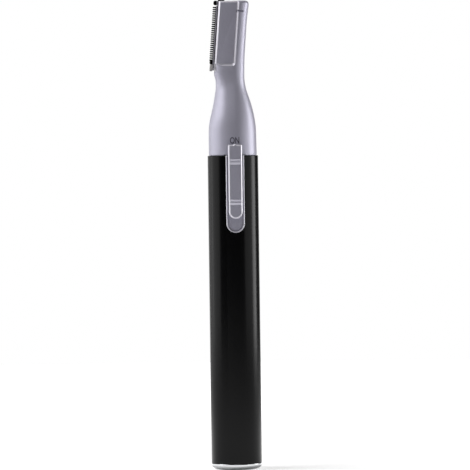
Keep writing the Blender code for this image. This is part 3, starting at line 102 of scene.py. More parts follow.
# Each section of the head: height, right reach and depth as shares, and how square its left side is.
HEAD_SHARES = (
    (0.000, 0.00, 0.98, 0.10),
    (0.040, 0.00, 0.99, 0.13),
    (0.080, 0.02, 1.00, 0.18),
    (0.120, 0.03, 1.00, 0.30),
    (0.180, 0.06, 1.00, 0.60),
    (0.256, 0.11, 1.00, 0.85),
    (0.360, 0.21, 1.00, 1.00),
    (0.470, 0.33, 1.00, 1.00),
    (0.580, 0.44, 1.00, 1.00),
    (0.690, 0.56, 1.00, 1.00),
    (0.800, 0.73, 1.00, 1.00),
    (0.900, 0.92, 1.00, 1.00),
    (0.945, 1.00, 1.00, 1.00),
    (1.000, 1.00, 1.00, 1.00),
)
ROUND_POWER = 2.0
SQUARE_POWER = 7.0
SECTION_PITCH = 0.28 * MM

# The face attribute that marks where a painted highlight goes, a lighter lavender on the bevels. A face
# counts as a bevel where its normal points this much along Y at least, and less than a flat face does.
HIGHLIGHT_MARK = "bright_cut"
BEVEL_TURN, FLAT_TURN = 0.2, 0.98
# The blade's lower front corner, where blade space begins.
BLADE_CORNER = Vector((-4.863 * MM, 0, 119.8 * MM))


def linear(code):
    """An sRGB hex colour as linear red, green and blue."""
    parts = [int(code[start : start + 2], 16) / 255 for start in (1, 3, 5)]
    return tuple(c / 12.92 if c <= 0.04045 else ((c + 0.055) / 1.055) ** 2.4 for c in parts)


def length(name, description, default):
    return FloatProperty(
        name=name, description=description, default=default, min=0.0, unit="LENGTH", precision=PLACE_DECIMALS
    )


def count(name, description, default):
    return IntProperty(name=name, description=description, default=default, min=1)


def colour(name, description, code):
    return FloatVectorProperty(
        name=name, description=description, default=linear(code), subtype="COLOR", min=0.0, max=1.0
    )


def power(name, description, default):
    return FloatProperty(name=name, description=description, default=default, min=0.0, unit="POWER")


class BarrelSizes(bpy.types.PropertyGroup):
    radius: length("Radius", "Outside of the tube", BARREL_HIGH.x)
    wall: length("Wall", "Thickness of the tube", 0.6 * MM)
    edge: length("Edge radius", "Rounding of the tube's two ends", 0.14 * MM)
    notch_width: length("Notch width", "Width of the U-shaped notch", 5.5 * MM)
    cap_height: length("Cap height", "Height of the end cap's visible ring", 1.80 * MM)
    cap_gap: length("Cap gap", "Gap between end cap and tube", 0.06 * MM)
    cap_edge: length("Cap edge", "Height of the end cap's rounded foot", 1.35 * MM)
    cap_foot: length("Cap foot", "Radius of the flat that the end cap stands on", 4.8 * MM)
    cap_rim: length("Cap rim", "Rounding of the end cap beside the tube", 0.12 * MM)
    spigot_radius: length("Spigot radius", "Outside of the spigot in the tube", 6.6 * MM)
    spigot_wall: length("Spigot wall", "Thickness of the end cap's spigot", 1.4 * MM)
    cap_floor: length("Cap floor", "Thickness of the end cap's floor", 1.5 * MM)


class SwitchSizes(bpy.types.PropertyGroup):
    rim_reach: length("Rim reach", "Half the width over the raised U-shaped rim", 2.72 * MM)
    rim_width: length("Rim width", "Width of the raised U-shaped rim", 0.40 * MM)
    rim_crest: length("Rim crest", "Width of the flat on top of the rim", 0.06 * MM)
    rim_fall: length("Rim fall", "Height of the rim's two slopes", 0.24 * MM)
    groove_width: length("Groove width", "Width of the groove inside the rim", 0.22 * MM)
    groove_depth: length("Groove depth", "Depth of the groove inside the rim", 0.6 * MM)
    rim_radius: length("Rim radius", "Distance of the rim's face from the tube's axis", 7.7 * MM)
    recess: length("Recess", "Distance of the recess floor from the tube's axis", 6.9 * MM)
    floor: length("Floor", "Thickness of the recess floor", 0.8 * MM)
    stem_width: length("Stem width", "Width of the button's stem", 1.0 * MM)
    stem_top: length("Stem top", "Height of the stem's upper end", 86.0 * MM)
    stem_length: length("Stem length", "Length of the stem along the barrel", 4.0 * MM)
    travel: length("Travel", "Way of the button from ON to OFF", 3.5 * MM)
    gap: length("Gap", "Room round the stem in its slot", 0.3 * MM)
    plate_back: length("Plate back", "Distance of the button's underside from the axis", 7.4 * MM)
    skirt_back: length("Skirt back", "Distance of the skirt's underside from the axis", 7.05 * MM)
    edge: length("Button edge", "Width of the button's bevelled edge", 0.36 * MM)
    nub_width: length("Nub width", "Width of the mark on the button's top", 1.0 * MM)
    nub_rise: length("Nub rise", "Height of the mark on the button's top", 0.25 * MM)
    rib_count: count("Ribs", "Ribs in each of the two groups", 2)
    rib_pitch: length("Rib pitch", "Distance from rib to rib", 0.88 * MM)
    rib_width: length("Rib width", "Width of a rib", 0.80 * MM)
    rib_height: length("Rib height", "Height of a rib over the button's face", 0.29 * MM)
    rib_crest: length("Rib crest", "Distance of a rib's crest from its upper foot", 0.10 * MM)
    taper: length("Taper", "How far each side of the button draws in towards its end", 0.04 * MM)
    upper_ribs: length("Upper ribs", "Distance of the upper ribs from the button's top", 5.05 * MM)
    lower_ribs: length("Lower ribs", "Distance of the lower ribs from the button's end", 4.9 * MM)


class HeadSizes(bpy.types.PropertyGroup):
    neck_radius: length("Neck radius", "Radius of the neck's foot", 7.1 * MM)
    neck_length: length("Neck length", "Height of the waist over the barrel", 24.0 * MM)
    neck_edge: length("Neck edge", "Rounding of the neck's foot", 0.12 * MM)
    neck_gap: length("Neck gap", "Gap between the barrel and the neck's foot", 0.05 * MM)
    waist_left: length("Waist left", "Reach of the waist to the left", 4.783 * MM)
    waist_right: length("Waist right", "Reach of the waist to the right", 3.7245 * MM)
    head_left: length("Head left", "Reach of the head to the left", 5.253 * MM)
    head_right: length("Head right", "Reach of the head's top to the right", 5.2975 * MM)
    depth: length("Depth", "Half the thickness of the head", 3.42 * MM)
    top_edge: length("Top edge", "Rounding of the head's top", 1.0 * MM)
    ridge: length("Ridge", "Distance of the head's thickest line from the blade's corner", 5.6 * MM)
    # The strip of painted highlight on the shell beside the comb's foot.
    highlight_strip_reach: length("Strip reach", "Reach of the bright edge beside the comb's foot", 0.12 * MM)
    highlight_strip_length: length("Strip length", "Length of the bright edge beside the comb's foot", 1.9 * MM)
    wall: length("Wall", "Thickness of the shell", 1.2 * MM)
    bore: length("Bore", "Radius of the hollow in the neck's spigot", 5.4 * MM)
    seam: length("Seam", "Gap between the two shell halves", 0.05 * MM)
    lean: FloatProperty(
        name="Lean", description="Lean of the blade to the right", default=math.radians(4.5), unit="ROTATION"
    )


class BladeSizes(bpy.types.PropertyGroup):
    panel_left: length("Panel left", "Reach of the blade holder left of its corner", 0.42 * MM)
    panel_width: length("Panel width", "Width of the blade holder", 5.1 * MM)
    panel_rise: length("Panel rise", "Height of the blade holder's foot over its corner", 0.4 * MM)
    panel_length: length("Panel length", "Length of the blade holder", 18.85 * MM)
    panel_edge: length("Panel edge", "Width of the bevel along the blade", 0.46 * MM)
    panel_fall: length("Panel fall", "Depth of the bevel along the blade", 0.68 * MM)
    panel_corner: length("Panel corner", "Cut of the blade holder's lower right corner", 0.35 * MM)
    cheek: length("Cheek", "Thickness of the blade holder's two faces", 0.52 * MM)
    panel_depth: length("Panel depth", "Half the thickness of the blade holder", 2.84 * MM)
    panel_gap: length("Panel gap", "Gap between blade holder and head", 0.05 * MM)
    seat_edge: length("Seat edge", "Width of the bevel right of the blade holder's seat", 0.45 * MM)
    seat_foot: length("Seat foot", "Width of the bevel under the blade holder's seat", 0.55 * MM)
    seat_sink: length("Seat sink", "Depth of the bevel round the blade holder's seat", 0.60 * MM)
    panel_below_top: length("Panel below top", "Gap between the holder's top and the head's", 0.05 * MM)
    teeth: count("Teeth", "Teeth of comb and cutter", 26)
    pitch: length("Tooth pitch", "Distance from tooth to tooth", 0.6235 * MM)
    first_tooth: length("First tooth", "Place of the first tooth along the blade", 1.53 * MM)
    root_width: length("Tooth root", "Width of a tooth at its root", 0.49 * MM)
    tip_width: length("Tooth tip", "Width of a tooth at its tip", 0.42 * MM)
    comb_root: length("Comb root", "Distance of the comb's tooth roots from the blade's corner", 1.10 * MM)
    comb_tip: length("Comb tip", "Distance of the comb's tooth tips from the blade's corner", 2.00 * MM)
    cutter_root: length("Cutter root", "Distance of the cutter's tooth roots", 0.95 * MM)
    cutter_tip: length("Cutter tip", "Distance of the cutter's tooth tips", 1.35 * MM)
    thickness: length("Blade thickness", "Thickness of comb and cutter", 0.35 * MM)
    end_tooth: length("End tooth", "Width of the comb's stout end teeth", 1.38 * MM)
    end_corner: length("End corner", "Rounding of the end teeth", 0.45 * MM)


class TrimmerColours(bpy.types.PropertyGroup):
    barrel: colour("Barrel", "Black anodised aluminium", "#050506")
    lacquer: colour("Lacquer", "Lavender pearl lacquer", "#bdbbcb")
    # A lighter lavender painted on the narrow bevels as their highlight.
    cut: colour("Cut edge", "Bright-cut bevels of the lavender pieces", "#e9e7f0")
    chrome: colour("Chrome", "Chromium plate on the end cap", "#d6d7d9")
    blade: colour("Blade", "Black oxide on the teeth", "#060607")
    ground: colour("Ground steel", "Ground strip beside the teeth", "#a9a6b0")
    guard: colour("Guard", "Grey block under the comb", "#bcb9b9")
    ink: colour("Ink", "Printed lettering", "#55515f")
    steel: colour("Steel", "Bright steel", "#c4c3bf")
    brass: colour("Brass", "Nickel-plated brass", "#c9bd98")
    copper: colour("Copper", "Commutator copper", "#b87a56")
    bronze: colour("Bronze", "Sintered bronze of the bush", "#a3835a")
    ferrite: colour("Ferrite", "Sintered ferrite magnets", "#3a393b")
    nylon: colour("Nylon", "White gear nylon", "#e4e2da")
    housing: colour("Housing", "Black moulded housing plastic", "#1c1c1e")
    jacket: colour("Jacket", "Shrink sleeve of the cell", "#39424e")
    floor: colour("Floor", "Studio floor", "#f2f2f2")


class StudioSettings(bpy.types.PropertyGroup):
    left_power: power("Left lamp", "Broad soft light from the left", 1.3)
    back_power: power("Back lamp", "Soft light from the left and behind", 0.45)
    high_power: power("High lamp", "Soft light from the upper left", 3.0)
    right_power: power("Right lamp", "Weak soft light from the right", 0.79)
    strip_power: power("Strip lamp", "Narrow strip light from the right", 2.25)
    fill_power: power("Fill lamp", "Weak soft light from above the camera", 0.38)
    top_power: power("Top lamp", "Soft light from straight above", 0.5)
    lens: FloatProperty(name="Lens", description="Focal length of the camera in mm", default=299.2)


def head_matrix(head):
    """From blade space (across, depth, up the blade) to the object's own space."""
    return Matrix.Translation(BLADE_CORNER) @ Matrix.Rotation(head.lean, 4, "Y")


# Mesh helpers


def new_piece(name, points, faces):
    mesh = bpy.data.meshes.new(name)
    mesh.from_pydata([tuple(point) for point in points], [], faces)
    piece = bpy.data.objects.new(name, mesh)
    bpy.context.scene.collection.objects.link(piece)
    return piece


def close_up(piece):
    """Merges doubled points and turns every face outwards."""
    shape = bmesh.new()
    shape.from_mesh(piece.data)
    bmesh.ops.remove_doubles(shape, verts=shape.verts, dist=MERGE_DISTANCE)
    bmesh.ops.dissolve_degenerate(shape, edges=shape.edges, dist=MERGE_DISTANCE)
    bmesh.ops.recalc_face_normals(shape, faces=shape.faces)
    shape.to_mesh(piece.data)
    shape.free()
    return piece


def lofted(name, rings):
    """Rings with as many points each, skinned and capped."""
    size = len(rings[0])
    points = [point for ring in rings for point in ring]
    faces = [list(range(size)), list(range(len(points) - size, len(points)))]
    for level in range(len(rings) - 1):
        start = level * size
        for step in range(size):
            after = (step + 1) % size
            faces.append((start + step, start + after, start + size + after, start + size + step))
    return close_up(new_piece(name, points, faces))


def turned(name, profile, steps=ROUND_STEPS):
    """A closed profile of (radius, height) turned round the barrel's axis."""
    points = []
    for step in range(steps):
        angle = 2 * math.pi * step / steps
        points += [(r * math.cos(angle), r * math.sin(angle), z) for r, z in profile]
    size = len(profile)
    faces = []
    for step in range(steps):
        here, there = step * size, (step + 1) % steps * size
        for index in range(size):
            after = (index + 1) % size
            faces.append((here + index, there + index, there + after, here + after))
    return close_up(new_piece(name, points, faces))


def prism(name, outline, low, high, along="Y"):
    """An outline drawn out between two depths; along Z its points are (x, y), otherwise (x, z)."""
    if along == "Z":
        rings = [[(x, y, level) for x, y in outline] for level in (low, high)]
    elif along == "X":
        rings = [[(level, y, z) for y, z in outline] for level in (low, high)]
    else:
        rings = [[(x, level, z) for x, z in outline] for level in (low, high)]
    return lofted(name, rings)


def block(name, low, high):
    outline = [(low[0], low[2]), (high[0], low[2]), (high[0], high[2]), (low[0], high[2])]
    return prism(name, outline, low[1], high[1])


def mix(start, end, share):
    return start + (end - start) * share


def arc(centre, radius, start, end, steps=ARC_STEPS):
    """Points on an arc from start to end degrees, both ends included."""
    points = []
    for step in range(steps + 1):
        angle = math.radians(start + (end - start) * step / steps)
        points.append((centre[0] + radius * math.cos(angle), centre[1] + radius * math.sin(angle)))
    return points


def plain(piece):
    """Turns a piece's modifiers into its own mesh."""
    graph = bpy.context.evaluated_depsgraph_get()
    mesh = bpy.data.meshes.new_from_object(piece.evaluated_get(graph), depsgraph=graph)
    old = piece.data
    piece.modifiers.clear()
    piece.data = mesh
    bpy.data.meshes.remove(old)
    return piece


def drop(piece):
    mesh = piece.data
    bpy.data.objects.remove(piece)
    bpy.data.meshes.remove(mesh)


def work(piece, tool, operation):
    """Cuts, joins or crosses a piece with a tool shape, which is used up."""
    modifier = piece.modifiers.new(operation, "BOOLEAN")
    modifier.operation = operation
    modifier.solver = "EXACT"
    modifier.object = tool
    plain(piece)
    drop(tool)
    return piece


def soften(piece, width, segments=2, angle=SMOOTH_ANGLE):
    """Rounds a shape's sharp edges."""
    modifier = piece.modifiers.new("soft_edges", "BEVEL")
    modifier.width = width
    modifier.segments = segments
    modifier.limit_method = "ANGLE"
    modifier.angle_limit = angle
    modifier.miter_outer = "MITER_SHARP"
    return plain(piece)


def paint_highlight(piece, least=BEVEL_TURN, most=FLAT_TURN, share=1.0):
    """Marks the bevels, by how far their faces turn to the front or back, for a painted highlight."""
    mesh = piece.data
    marks = mesh.attributes.get(HIGHLIGHT_MARK) or mesh.attributes.new(HIGHLIGHT_MARK, "FLOAT", "FACE")
    for face in mesh.polygons:
        marks.data[face.index].value = share if least < abs(face.normal.y) < most else 0.0
    return piece


def paint_highlight_strip(piece, right, low, high):
    """Marks the faces left of a line, between two heights up the blade, for the painted highlight too."""
    mesh = piece.data
    marks = mesh.attributes.get(HIGHLIGHT_MARK) or mesh.attributes.new(HIGHLIGHT_MARK, "FLOAT", "FACE")
    to_blade = head_matrix(bpy.context.scene.trimmer_head).inverted()
    for face in mesh.polygons:
        place = to_blade @ face.center
        if place.x < right and low < place.z < high:
            marks.data[face.index].value = 1.0
    return piece


def finish(piece, body, slot, material, *nodes, smooth=SMOOTH_ANGLE):
    """Shades a piece, gives it its material, and has it ride its body in place of CAD nodes."""
    close_up(piece)
    mesh = piece.data
    mesh.materials.clear()
    mesh.materials.append(material)
    mesh.shade_smooth()
    mesh.set_sharp_from_angle(angle=smooth)
    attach(piece, body)
    if nodes:
        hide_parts(*nodes)
    return piece


# Node helpers


def add_node(tree, kind, inputs=None, **settings):
    """Adds a node, sets its fields, and fills its sockets with values or other nodes' outputs."""
    node = tree.nodes.new(kind)
    for name, value in settings.items():
        setattr(node, name, value)
    for name, value in (inputs or {}).items():
        socket = node.inputs[name]
        if isinstance(value, bpy.types.NodeSocket):
            tree.links.new(value, socket)
        else:
            socket.default_value = value
    return node


def new_tree(name, inputs):
    """A Geometry Nodes tree with named inputs: name, socket type, default, description."""
    tree = bpy.data.node_groups.new(name, "GeometryNodeTree")
    tree.interface.new_socket("Geometry", in_out="OUTPUT", socket_type="NodeSocketGeometry")
    for title, kind, default, description in inputs:
        socket = tree.interface.new_socket(title, in_out="INPUT", socket_type=kind)
        socket.description = description
        if default is not None:
            socket.default_value = default
    return tree


def end_tree(add, geometry, material):
    """Ends a tree: its instances are made real, get their material and go to the output."""
    real = add("GeometryNodeRealizeInstances", {"Geometry": geometry})
    dressed = add("GeometryNodeSetMaterial", {"Geometry": real.outputs["Geometry"], "Material": material})
    add("NodeGroupOutput", {"Geometry": dressed.outputs["Geometry"]})


def grown(piece, tree, values):
    """Runs a tree on a piece, its inputs given by name, and keeps the result as its plain mesh."""
    sockets = {
        item.name: item.identifier
        for item in tree.interface.items_tree
        if item.item_type == "SOCKET" and item.in_out == "INPUT"
    }
    modifier = piece.modifiers.new(tree.name, "NODES")
    modifier.node_group = tree
    for name, value in values.items():
        modifier[sockets[name]] = value
    return plain(piece)


def row_tree():
    """Copies of the piece's own mesh in a straight row, as teeth and ribs stand."""
    name = "Row of copies"
    if name in bpy.data.node_groups:
        return bpy.data.node_groups[name]
    tree = new_tree(
        name,
        (
            ("Geometry", "NodeSocketGeometry", None, "One tooth or rib"),
            ("Count", "NodeSocketInt", 2, "Copies in the row"),
            ("Step", "NodeSocketVector", (0.0, 0.0, MM), "Way from one copy to the next"),
            ("Material", "NodeSocketMaterial", None, "Finish of the copies"),
        ),
    )
    add = partial(add_node, tree)
    given = add("NodeGroupInput").outputs
    line = add("GeometryNodeMeshLine", {"Count": given["Count"], "Offset": given["Step"]}, mode="OFFSET")
    copies = add(
        "GeometryNodeInstanceOnPoints", {"Points": line.outputs["Mesh"], "Instance": given["Geometry"]}
    )
    end_tree(add, copies.outputs["Instances"], given["Material"])
    return tree


def tube_tree():
    """A tube standing on end: a round-cornered wall section swept round a circle."""
    name = "Drawn tube"
    if name in bpy.data.node_groups:
        return bpy.data.node_groups[name]
    tree = new_tree(
        name,
        (
            ("Radius", "NodeSocketFloat", 7.5 * MM, "Outside of the tube"),
            ("Wall", "NodeSocketFloat", 0.6 * MM, "Thickness of the tube"),
            ("Bottom", "NodeSocketFloat", 0.0, "Height of the lower end"),
            ("Top", "NodeSocketFloat", 90 * MM, "Height of the upper end"),
            ("Edge", "NodeSocketFloat", 0.15 * MM, "Rounding of the ends"),
            ("Steps", "NodeSocketInt", ROUND_STEPS, "Facets round the tube"),
            ("Material", "NodeSocketMaterial", None, "Finish of the tube"),
        ),
    )
    add = partial(add_node, tree)
    given = add("NodeGroupInput").outputs
    half_wall = add("ShaderNodeMath", {0: given["Wall"], 1: 0.5}, operation="MULTIPLY")
    middle = add("ShaderNodeMath", {0: given["Radius"], 1: half_wall.outputs[0]}, operation="SUBTRACT")
    height = add("ShaderNodeMath", {0: given["Top"], 1: given["Bottom"]}, operation="SUBTRACT")
    both = add("ShaderNodeMath", {0: given["Top"], 1: given["Bottom"]}, operation="ADD")
    centre = add("ShaderNodeMath", {0: both.outputs[0], 1: 0.5}, operation="MULTIPLY")
    path = add(
        "GeometryNodeCurvePrimitiveCircle",
        {"Resolution": given["Steps"], "Radius": middle.outputs[0]},
        mode="RADIUS",
    )
    section = add(
        "GeometryNodeCurvePrimitiveQuadrilateral",
        {"Width": given["Wall"], "Height": height.outputs[0]},
        mode="RECTANGLE",
    )
    rounded = add(
        "GeometryNodeFilletCurve",
        {"Curve": section.outputs[0], "Radius": given["Edge"], "Count": FILLET_STEPS},
        mode="POLY",
    )
    swept = add("GeometryNodeCurveToMesh", {"Curve": path.outputs[0], "Profile Curve": rounded.outputs[0]})
    lift = add("ShaderNodeCombineXYZ", {"Z": centre.outputs[0]})
    placed = add(
        "GeometryNodeTransform", {"Geometry": swept.outputs[0], "Translation": lift.outputs[0]}
    )
    end_tree(add, placed.outputs["Geometry"], given["Material"])
    return tree


# Materials

# Noise keeps mostly between these values; what runs evenly fills the whole spread.
NOISE_SPREAD = (0.3, 0.7)
FULL_SPREAD = (0.0, 1.0)
# How deep a worked surface's relief is taken.
RELIEF = 0.2

ANODISED_ROUGHNESS = (0.18, 0.23)
LACQUER_ROUGHNESS = (0.42, 0.48)
OXIDE_ROUGHNESS = (0.34, 0.46)
MOULDED_BAND = 0.05
OXIDE_LINES = 0.06 * MM
FLAKE_SIZE = 0.10 * MM
WAVE_SIZE = 1.5 * MM
GRAIN_SIZE = 0.12 * MM
CLOUD_SIZE = 9 * MM
# The ground strip's middle line lies this far left of the blade's corner. The strip is fully ground
# within its reach and gone at its fade.
GROUND_LINE = 0.82 * MM
GROUND_REACH = 0.14 * MM
GROUND_FADE = 0.18 * MM


def surface(name):
    """A named, emptied material, the function that adds nodes to it, and its Object coordinates."""
    material = bpy.data.materials.get(name) or bpy.data.materials.new(name)
    material.use_nodes = True
    material.node_tree.nodes.clear()
    add = partial(add_node, material.node_tree)
    return material, add, add("ShaderNodeTexCoord").outputs["Object"]


def shade(add, inputs):
    """Adds the surface shader with its inputs, and the output that shows it."""
    shader = add("ShaderNodeBsdfPrincipled", inputs)
    add("ShaderNodeOutputMaterial", {"Surface": shader.outputs["BSDF"]})


def toned(add, tint, texture, spread, tones):
    """A colour whose lightness follows a texture."""
    tone = add(
        "ShaderNodeMapRange",
        {
            "Value": texture,
            "From Min": spread[0],
            "From Max": spread[1],
            "To Min": tones[0],
            "To Max": tones[1],
        },
    )
    scaled = add("ShaderNodeVectorMath", {0: tint, "Scale": tone.outputs["Result"]}, operation="SCALE")
    return scaled.outputs["Vector"]


def worked(add, texture, spread, rough, depth, strength=RELIEF):
    """Shader inputs for a surface whose gloss and relief follow one texture; the depth is in metres."""
    gloss = add(
        "ShaderNodeMapRange",
        {
            "Value": texture,
            "From Min": spread[0],
            "From Max": spread[1],
            "To Min": rough[0],
            "To Max": rough[1],
        },
    )
    relief = add("ShaderNodeBump", {"Strength": strength, "Distance": depth, "Height": texture})
    return {"Roughness": gloss.outputs["Result"], "Normal": relief.outputs["Normal"]}


def anodised_aluminium():
    """Black anodised aluminium, bead-blasted and dyed: satin, nearly black, with a very fine grain."""
    material, add, place = surface("Black anodised aluminium")
    # Blasted grain is about 0.05 mm; it is drawn at 0.12 mm to show at all.
    grain = add(
        "ShaderNodeTexNoise", {"Vector": place, "Scale": 1 / GRAIN_SIZE, "Detail": 3.0, "Roughness": 0.6}
    )
    # The dye takes a little unevenly, in clouds of about 9 mm.
    cloud = add(
        "ShaderNodeTexNoise", {"Vector": place, "Scale": 1 / CLOUD_SIZE, "Detail": 2.0, "Roughness": 0.5}
    )
    tint = tuple(bpy.context.scene.trimmer_colours.barrel)
    # The oxide film is a glassy layer over the metal, so it reflects as a dielectric does.
    shade(
        add,
        {
            "Base Color": toned(add, tint, cloud.outputs["Fac"], NOISE_SPREAD, (0.85, 1.15)),
            "IOR": 1.5,
            "Specular IOR Level": 0.16,
            **worked(
                add, grain.outputs["Fac"], NOISE_SPREAD, ANODISED_ROUGHNESS, depth=0.01 * MM, strength=0.12
            ),
        },
    )
    return material


def lacquered_abs():
    """Lavender pearl lacquer sprayed on moulded ABS: fine metal flake under a clear coat."""
    material, add, place = surface("Lavender lacquered ABS")
    colours = bpy.context.scene.trimmer_colours
    # Flakes of 0.03 mm, drawn at 0.1 mm; sprayed lacquer has a slight wave of about 1.5 mm.
    flake = add("ShaderNodeTexVoronoi", {"Vector": place, "Scale": 1 / FLAKE_SIZE, "Randomness": 1.0})
    wave = add(
        "ShaderNodeTexNoise", {"Vector": place, "Scale": 1 / WAVE_SIZE, "Detail": 1.0, "Roughness": 0.4}
    )
    glint = add("ShaderNodeSeparateColor", {"Color": flake.outputs["Color"]}, mode="RGB")
    # The narrow bevels get a painted highlight, a lighter lavender: their pieces carry a mark on those faces.
    cut = add("ShaderNodeAttribute", attribute_type="GEOMETRY", attribute_name=HIGHLIGHT_MARK)
    tint = add(
        "ShaderNodeMix",
        {"Factor": cut.outputs["Fac"], "A": (*colours.lacquer, 1), "B": (*colours.cut, 1)},
        data_type="RGBA",
    )
    low, high = LACQUER_ROUGHNESS
    gloss = add("ShaderNodeMapRange", {"Value": glint.outputs["Green"], "To Min": low, "To Max": high})
    relief = add(
        "ShaderNodeBump", {"Strength": 0.15, "Distance": 0.01 * MM, "Height": wave.outputs["Fac"]}
    )
    shade(
        add,
        {
            "Base Color": toned(add, tint.outputs["Result"], glint.outputs["Red"], FULL_SPREAD, (0.95, 1.05)),
            "Metallic": 0.4,
            "Roughness": gloss.outputs["Result"],
            "Normal": relief.outputs["Normal"],
            "Coat Weight": 0.05,
            "Coat Roughness": 0.2,
            "Sheen Weight": 0.25,
            "Sheen Roughness": 0.35,
        },
    )
    return material


def metal(name, tint, rough, grain, depth, stretch=(1.0, 1.0, 1.0)):
    """A bare or plated metal with a worked surface: its grain in metres sets the tool marks."""
    material, add, place = surface(name)
    laid = add("ShaderNodeMapping", {"Vector": place, "Scale": stretch})
    marks = add(
        "ShaderNodeTexNoise",
        {"Vector": laid.outputs["Vector"], "Scale": 1 / grain, "Detail": 3.0, "Roughness": 0.6},
    )
    polish = worked(add, marks.outputs["Fac"], NOISE_SPREAD, rough, depth)
    shade(add, {"Base Color": (*tint, 1.0), "Metallic": 1.0, **polish})
    return material


def moulded(name, tint, rough, grain, depth, ior=1.5):
    """A moulded or pressed body: one colour through, with the tool's fine texture."""
    material, add, place = surface(name)
    noise = add("ShaderNodeTexNoise", {"Vector": place, "Scale": 1 / grain, "Detail": 2.0, "Roughness": 0.5})
    texture = noise.outputs["Fac"]
    band = (rough - MOULDED_BAND, rough + MOULDED_BAND)
    shade(
        add,
        {
            "Base Color": toned(add, tuple(tint), texture, NOISE_SPREAD, (0.93, 1.07)),
            "IOR": ior,
            **worked(add, texture, FULL_SPREAD, band, depth),
        },
    )
    return material


def chrome_plate():
    """Chromium plate on moulded ABS: a mirror with the faint cloud of polishing."""
    tint = bpy.context.scene.trimmer_colours.chrome
    return metal("Chrome-plated ABS", tint, rough=(0.06, 0.12), grain=2 * MM, depth=0.004 * MM)


def blackened_steel():
    """Blade steel with a black oxide: dull black teeth, ground to grey where the plate meets them."""
    material, add, place = surface("Blackened blade steel")
    colours, head = bpy.context.scene.trimmer_colours, bpy.context.scene.trimmer_head
    # Blade space: across the blade, through it and along it, in metres.
    laid = add(
        "ShaderNodeMapping",
        {"Vector": place, "Location": head_matrix(head).translation, "Rotation": (0.0, head.lean, 0.0)},
        vector_type="TEXTURE",
    )
    across = add("ShaderNodeSeparateXYZ", {"Vector": laid.outputs["Vector"]}).outputs["X"]
    aside = add("ShaderNodeMath", {0: across, 1: GROUND_LINE}, operation="ADD")
    off = add("ShaderNodeMath", {0: aside.outputs[0]}, operation="ABSOLUTE")
    ground = add(
        "ShaderNodeMapRange",
        {
            "Value": off.outputs[0],
            "From Min": GROUND_REACH,
            "From Max": GROUND_FADE,
            "To Min": 1.0,
            "To Max": 0.0,
        },
    )
    base = add(
        "ShaderNodeMix",
        {"Factor": ground.outputs["Result"], "A": (*colours.blade, 1), "B": (*colours.ground, 1)},
        data_type="RGBA",
    )
    # Grinding lines 0.06 mm apart run across the blade.
    stretched = add("ShaderNodeMapping", {"Vector": laid.outputs["Vector"], "Scale": (0.1, 1.0, 1.0)})
    lines = add(
        "ShaderNodeTexNoise",
        {"Vector": stretched.outputs["Vector"], "Scale": 1 / OXIDE_LINES, "Detail": 2.0},
    )
    shade(
        add,
        {
            "Base Color": base.outputs["Result"],
            "Metallic": 0.0,
            "Specular IOR Level": 0.1,
            **worked(add, lines.outputs["Fac"], NOISE_SPREAD, OXIDE_ROUGHNESS, depth=0.004 * MM),
        },
    )
    return material


# Barrel and end cap


class TRIMMER_OT_barrel(bpy.types.Operator):
    """Draw the anodised tube and cut its U-shaped notch"""

    bl_idname = "trimmer.barrel"
    bl_label = "Barrel tube"

    def execute(self, context):
        sizes = context.scene.trimmer_barrel
        material = anodised_aluminium()
        tube = new_piece("anodised_tube", [(0, 0, 0)], [])
        grown(
            tube,
            tube_tree(),
            {
                "Radius": sizes.radius,
                "Wall": sizes.wall,
                "Bottom": sizes.cap_height + sizes.cap_gap,
                "Top": BARREL_HIGH.z,
                "Edge": sizes.edge,
                "Steps": ROUND_STEPS,
                "Material": material,
            },
        )
        close_up(tube)
        half = sizes.notch_width / 2
        bottom = SURROUND_LOW.z + SURROUND_HIGH.x
        outline = arc((0, bottom), half, 180, 360)
        outline += [(half, BARREL_HIGH.z + PAST), (-half, BARREL_HIGH.z + PAST)]
        work(tube, prism("notch", outline, -sizes.radius - PAST, 0), "DIFFERENCE")
        finish(tube, "handle", "black_barrel", material, "barrel_tube")
        return {"FINISHED"}


class TRIMMER_OT_end_cap(bpy.types.Operator):
    """Turn the chromed end cap with its spigot"""

    bl_idname = "trimmer.end_cap"
    bl_label = "End cap"

    def execute(self, context):
        sizes = context.scene.trimmer_barrel
        radius, rim = sizes.radius, sizes.cap_rim
        top = sizes.cap_height
        pocket = sizes.spigot_radius - sizes.spigot_wall
        profile = [(0, 0)]
        for across, up in arc((0, 1), 1, -90, 0, 2 * FILLET_STEPS):
            profile.append((mix(sizes.cap_foot, radius, across), up * sizes.cap_edge))
        profile += arc((radius - rim, top - rim), rim, 0, 90, FILLET_STEPS)
        profile += [
            (sizes.spigot_radius, top),
            (sizes.spigot_radius, CAP_HIGH.z - rim),
            (sizes.spigot_radius - rim, CAP_HIGH.z),
            (pocket, CAP_HIGH.z),
            (pocket, sizes.cap_floor),
            (0, sizes.cap_floor),
        ]
        cap = turned("chromed_cap", profile)
        finish(cap, "cap", "chromed_cap", chrome_plate(), "end_cap")
        return {"FINISHED"}


# Switch

# Place of the button's face in front of the barrel's axis.
BUTTON_FACE = -8.5 * MM
# How far the bevel's two turns are softened, and where between lies their middle point.
SOFT_SHARE = 0.2
TURN_SHARE = 0.3
# Points over a rib's crest: how far they stand proud, as shares of the rib's height, and how far they lie
# above the crest's line, as shares of its distance from the upper foot.
RIB_SHARES = ((0.75, 0.4), (0.95, 0.1), (1.0, -0.2), (0.92, -0.7))
# How strongly the ribs' painted highlight shows, set against the bevels.
RIB_HIGHLIGHT_SHARE = 0.35
# The ribs' long flanks turn only this much; on the surround the flat crest gets the painted highlight too.
RIB_TURN = 0.1
ANY_TURN = 1.1


def u_outline(half, bottom, top):
    """A U on the switch face: round at the bottom, square at the top."""
    return arc((0, bottom + half), half, 180, 360) + [(half, top), (-half, top)]


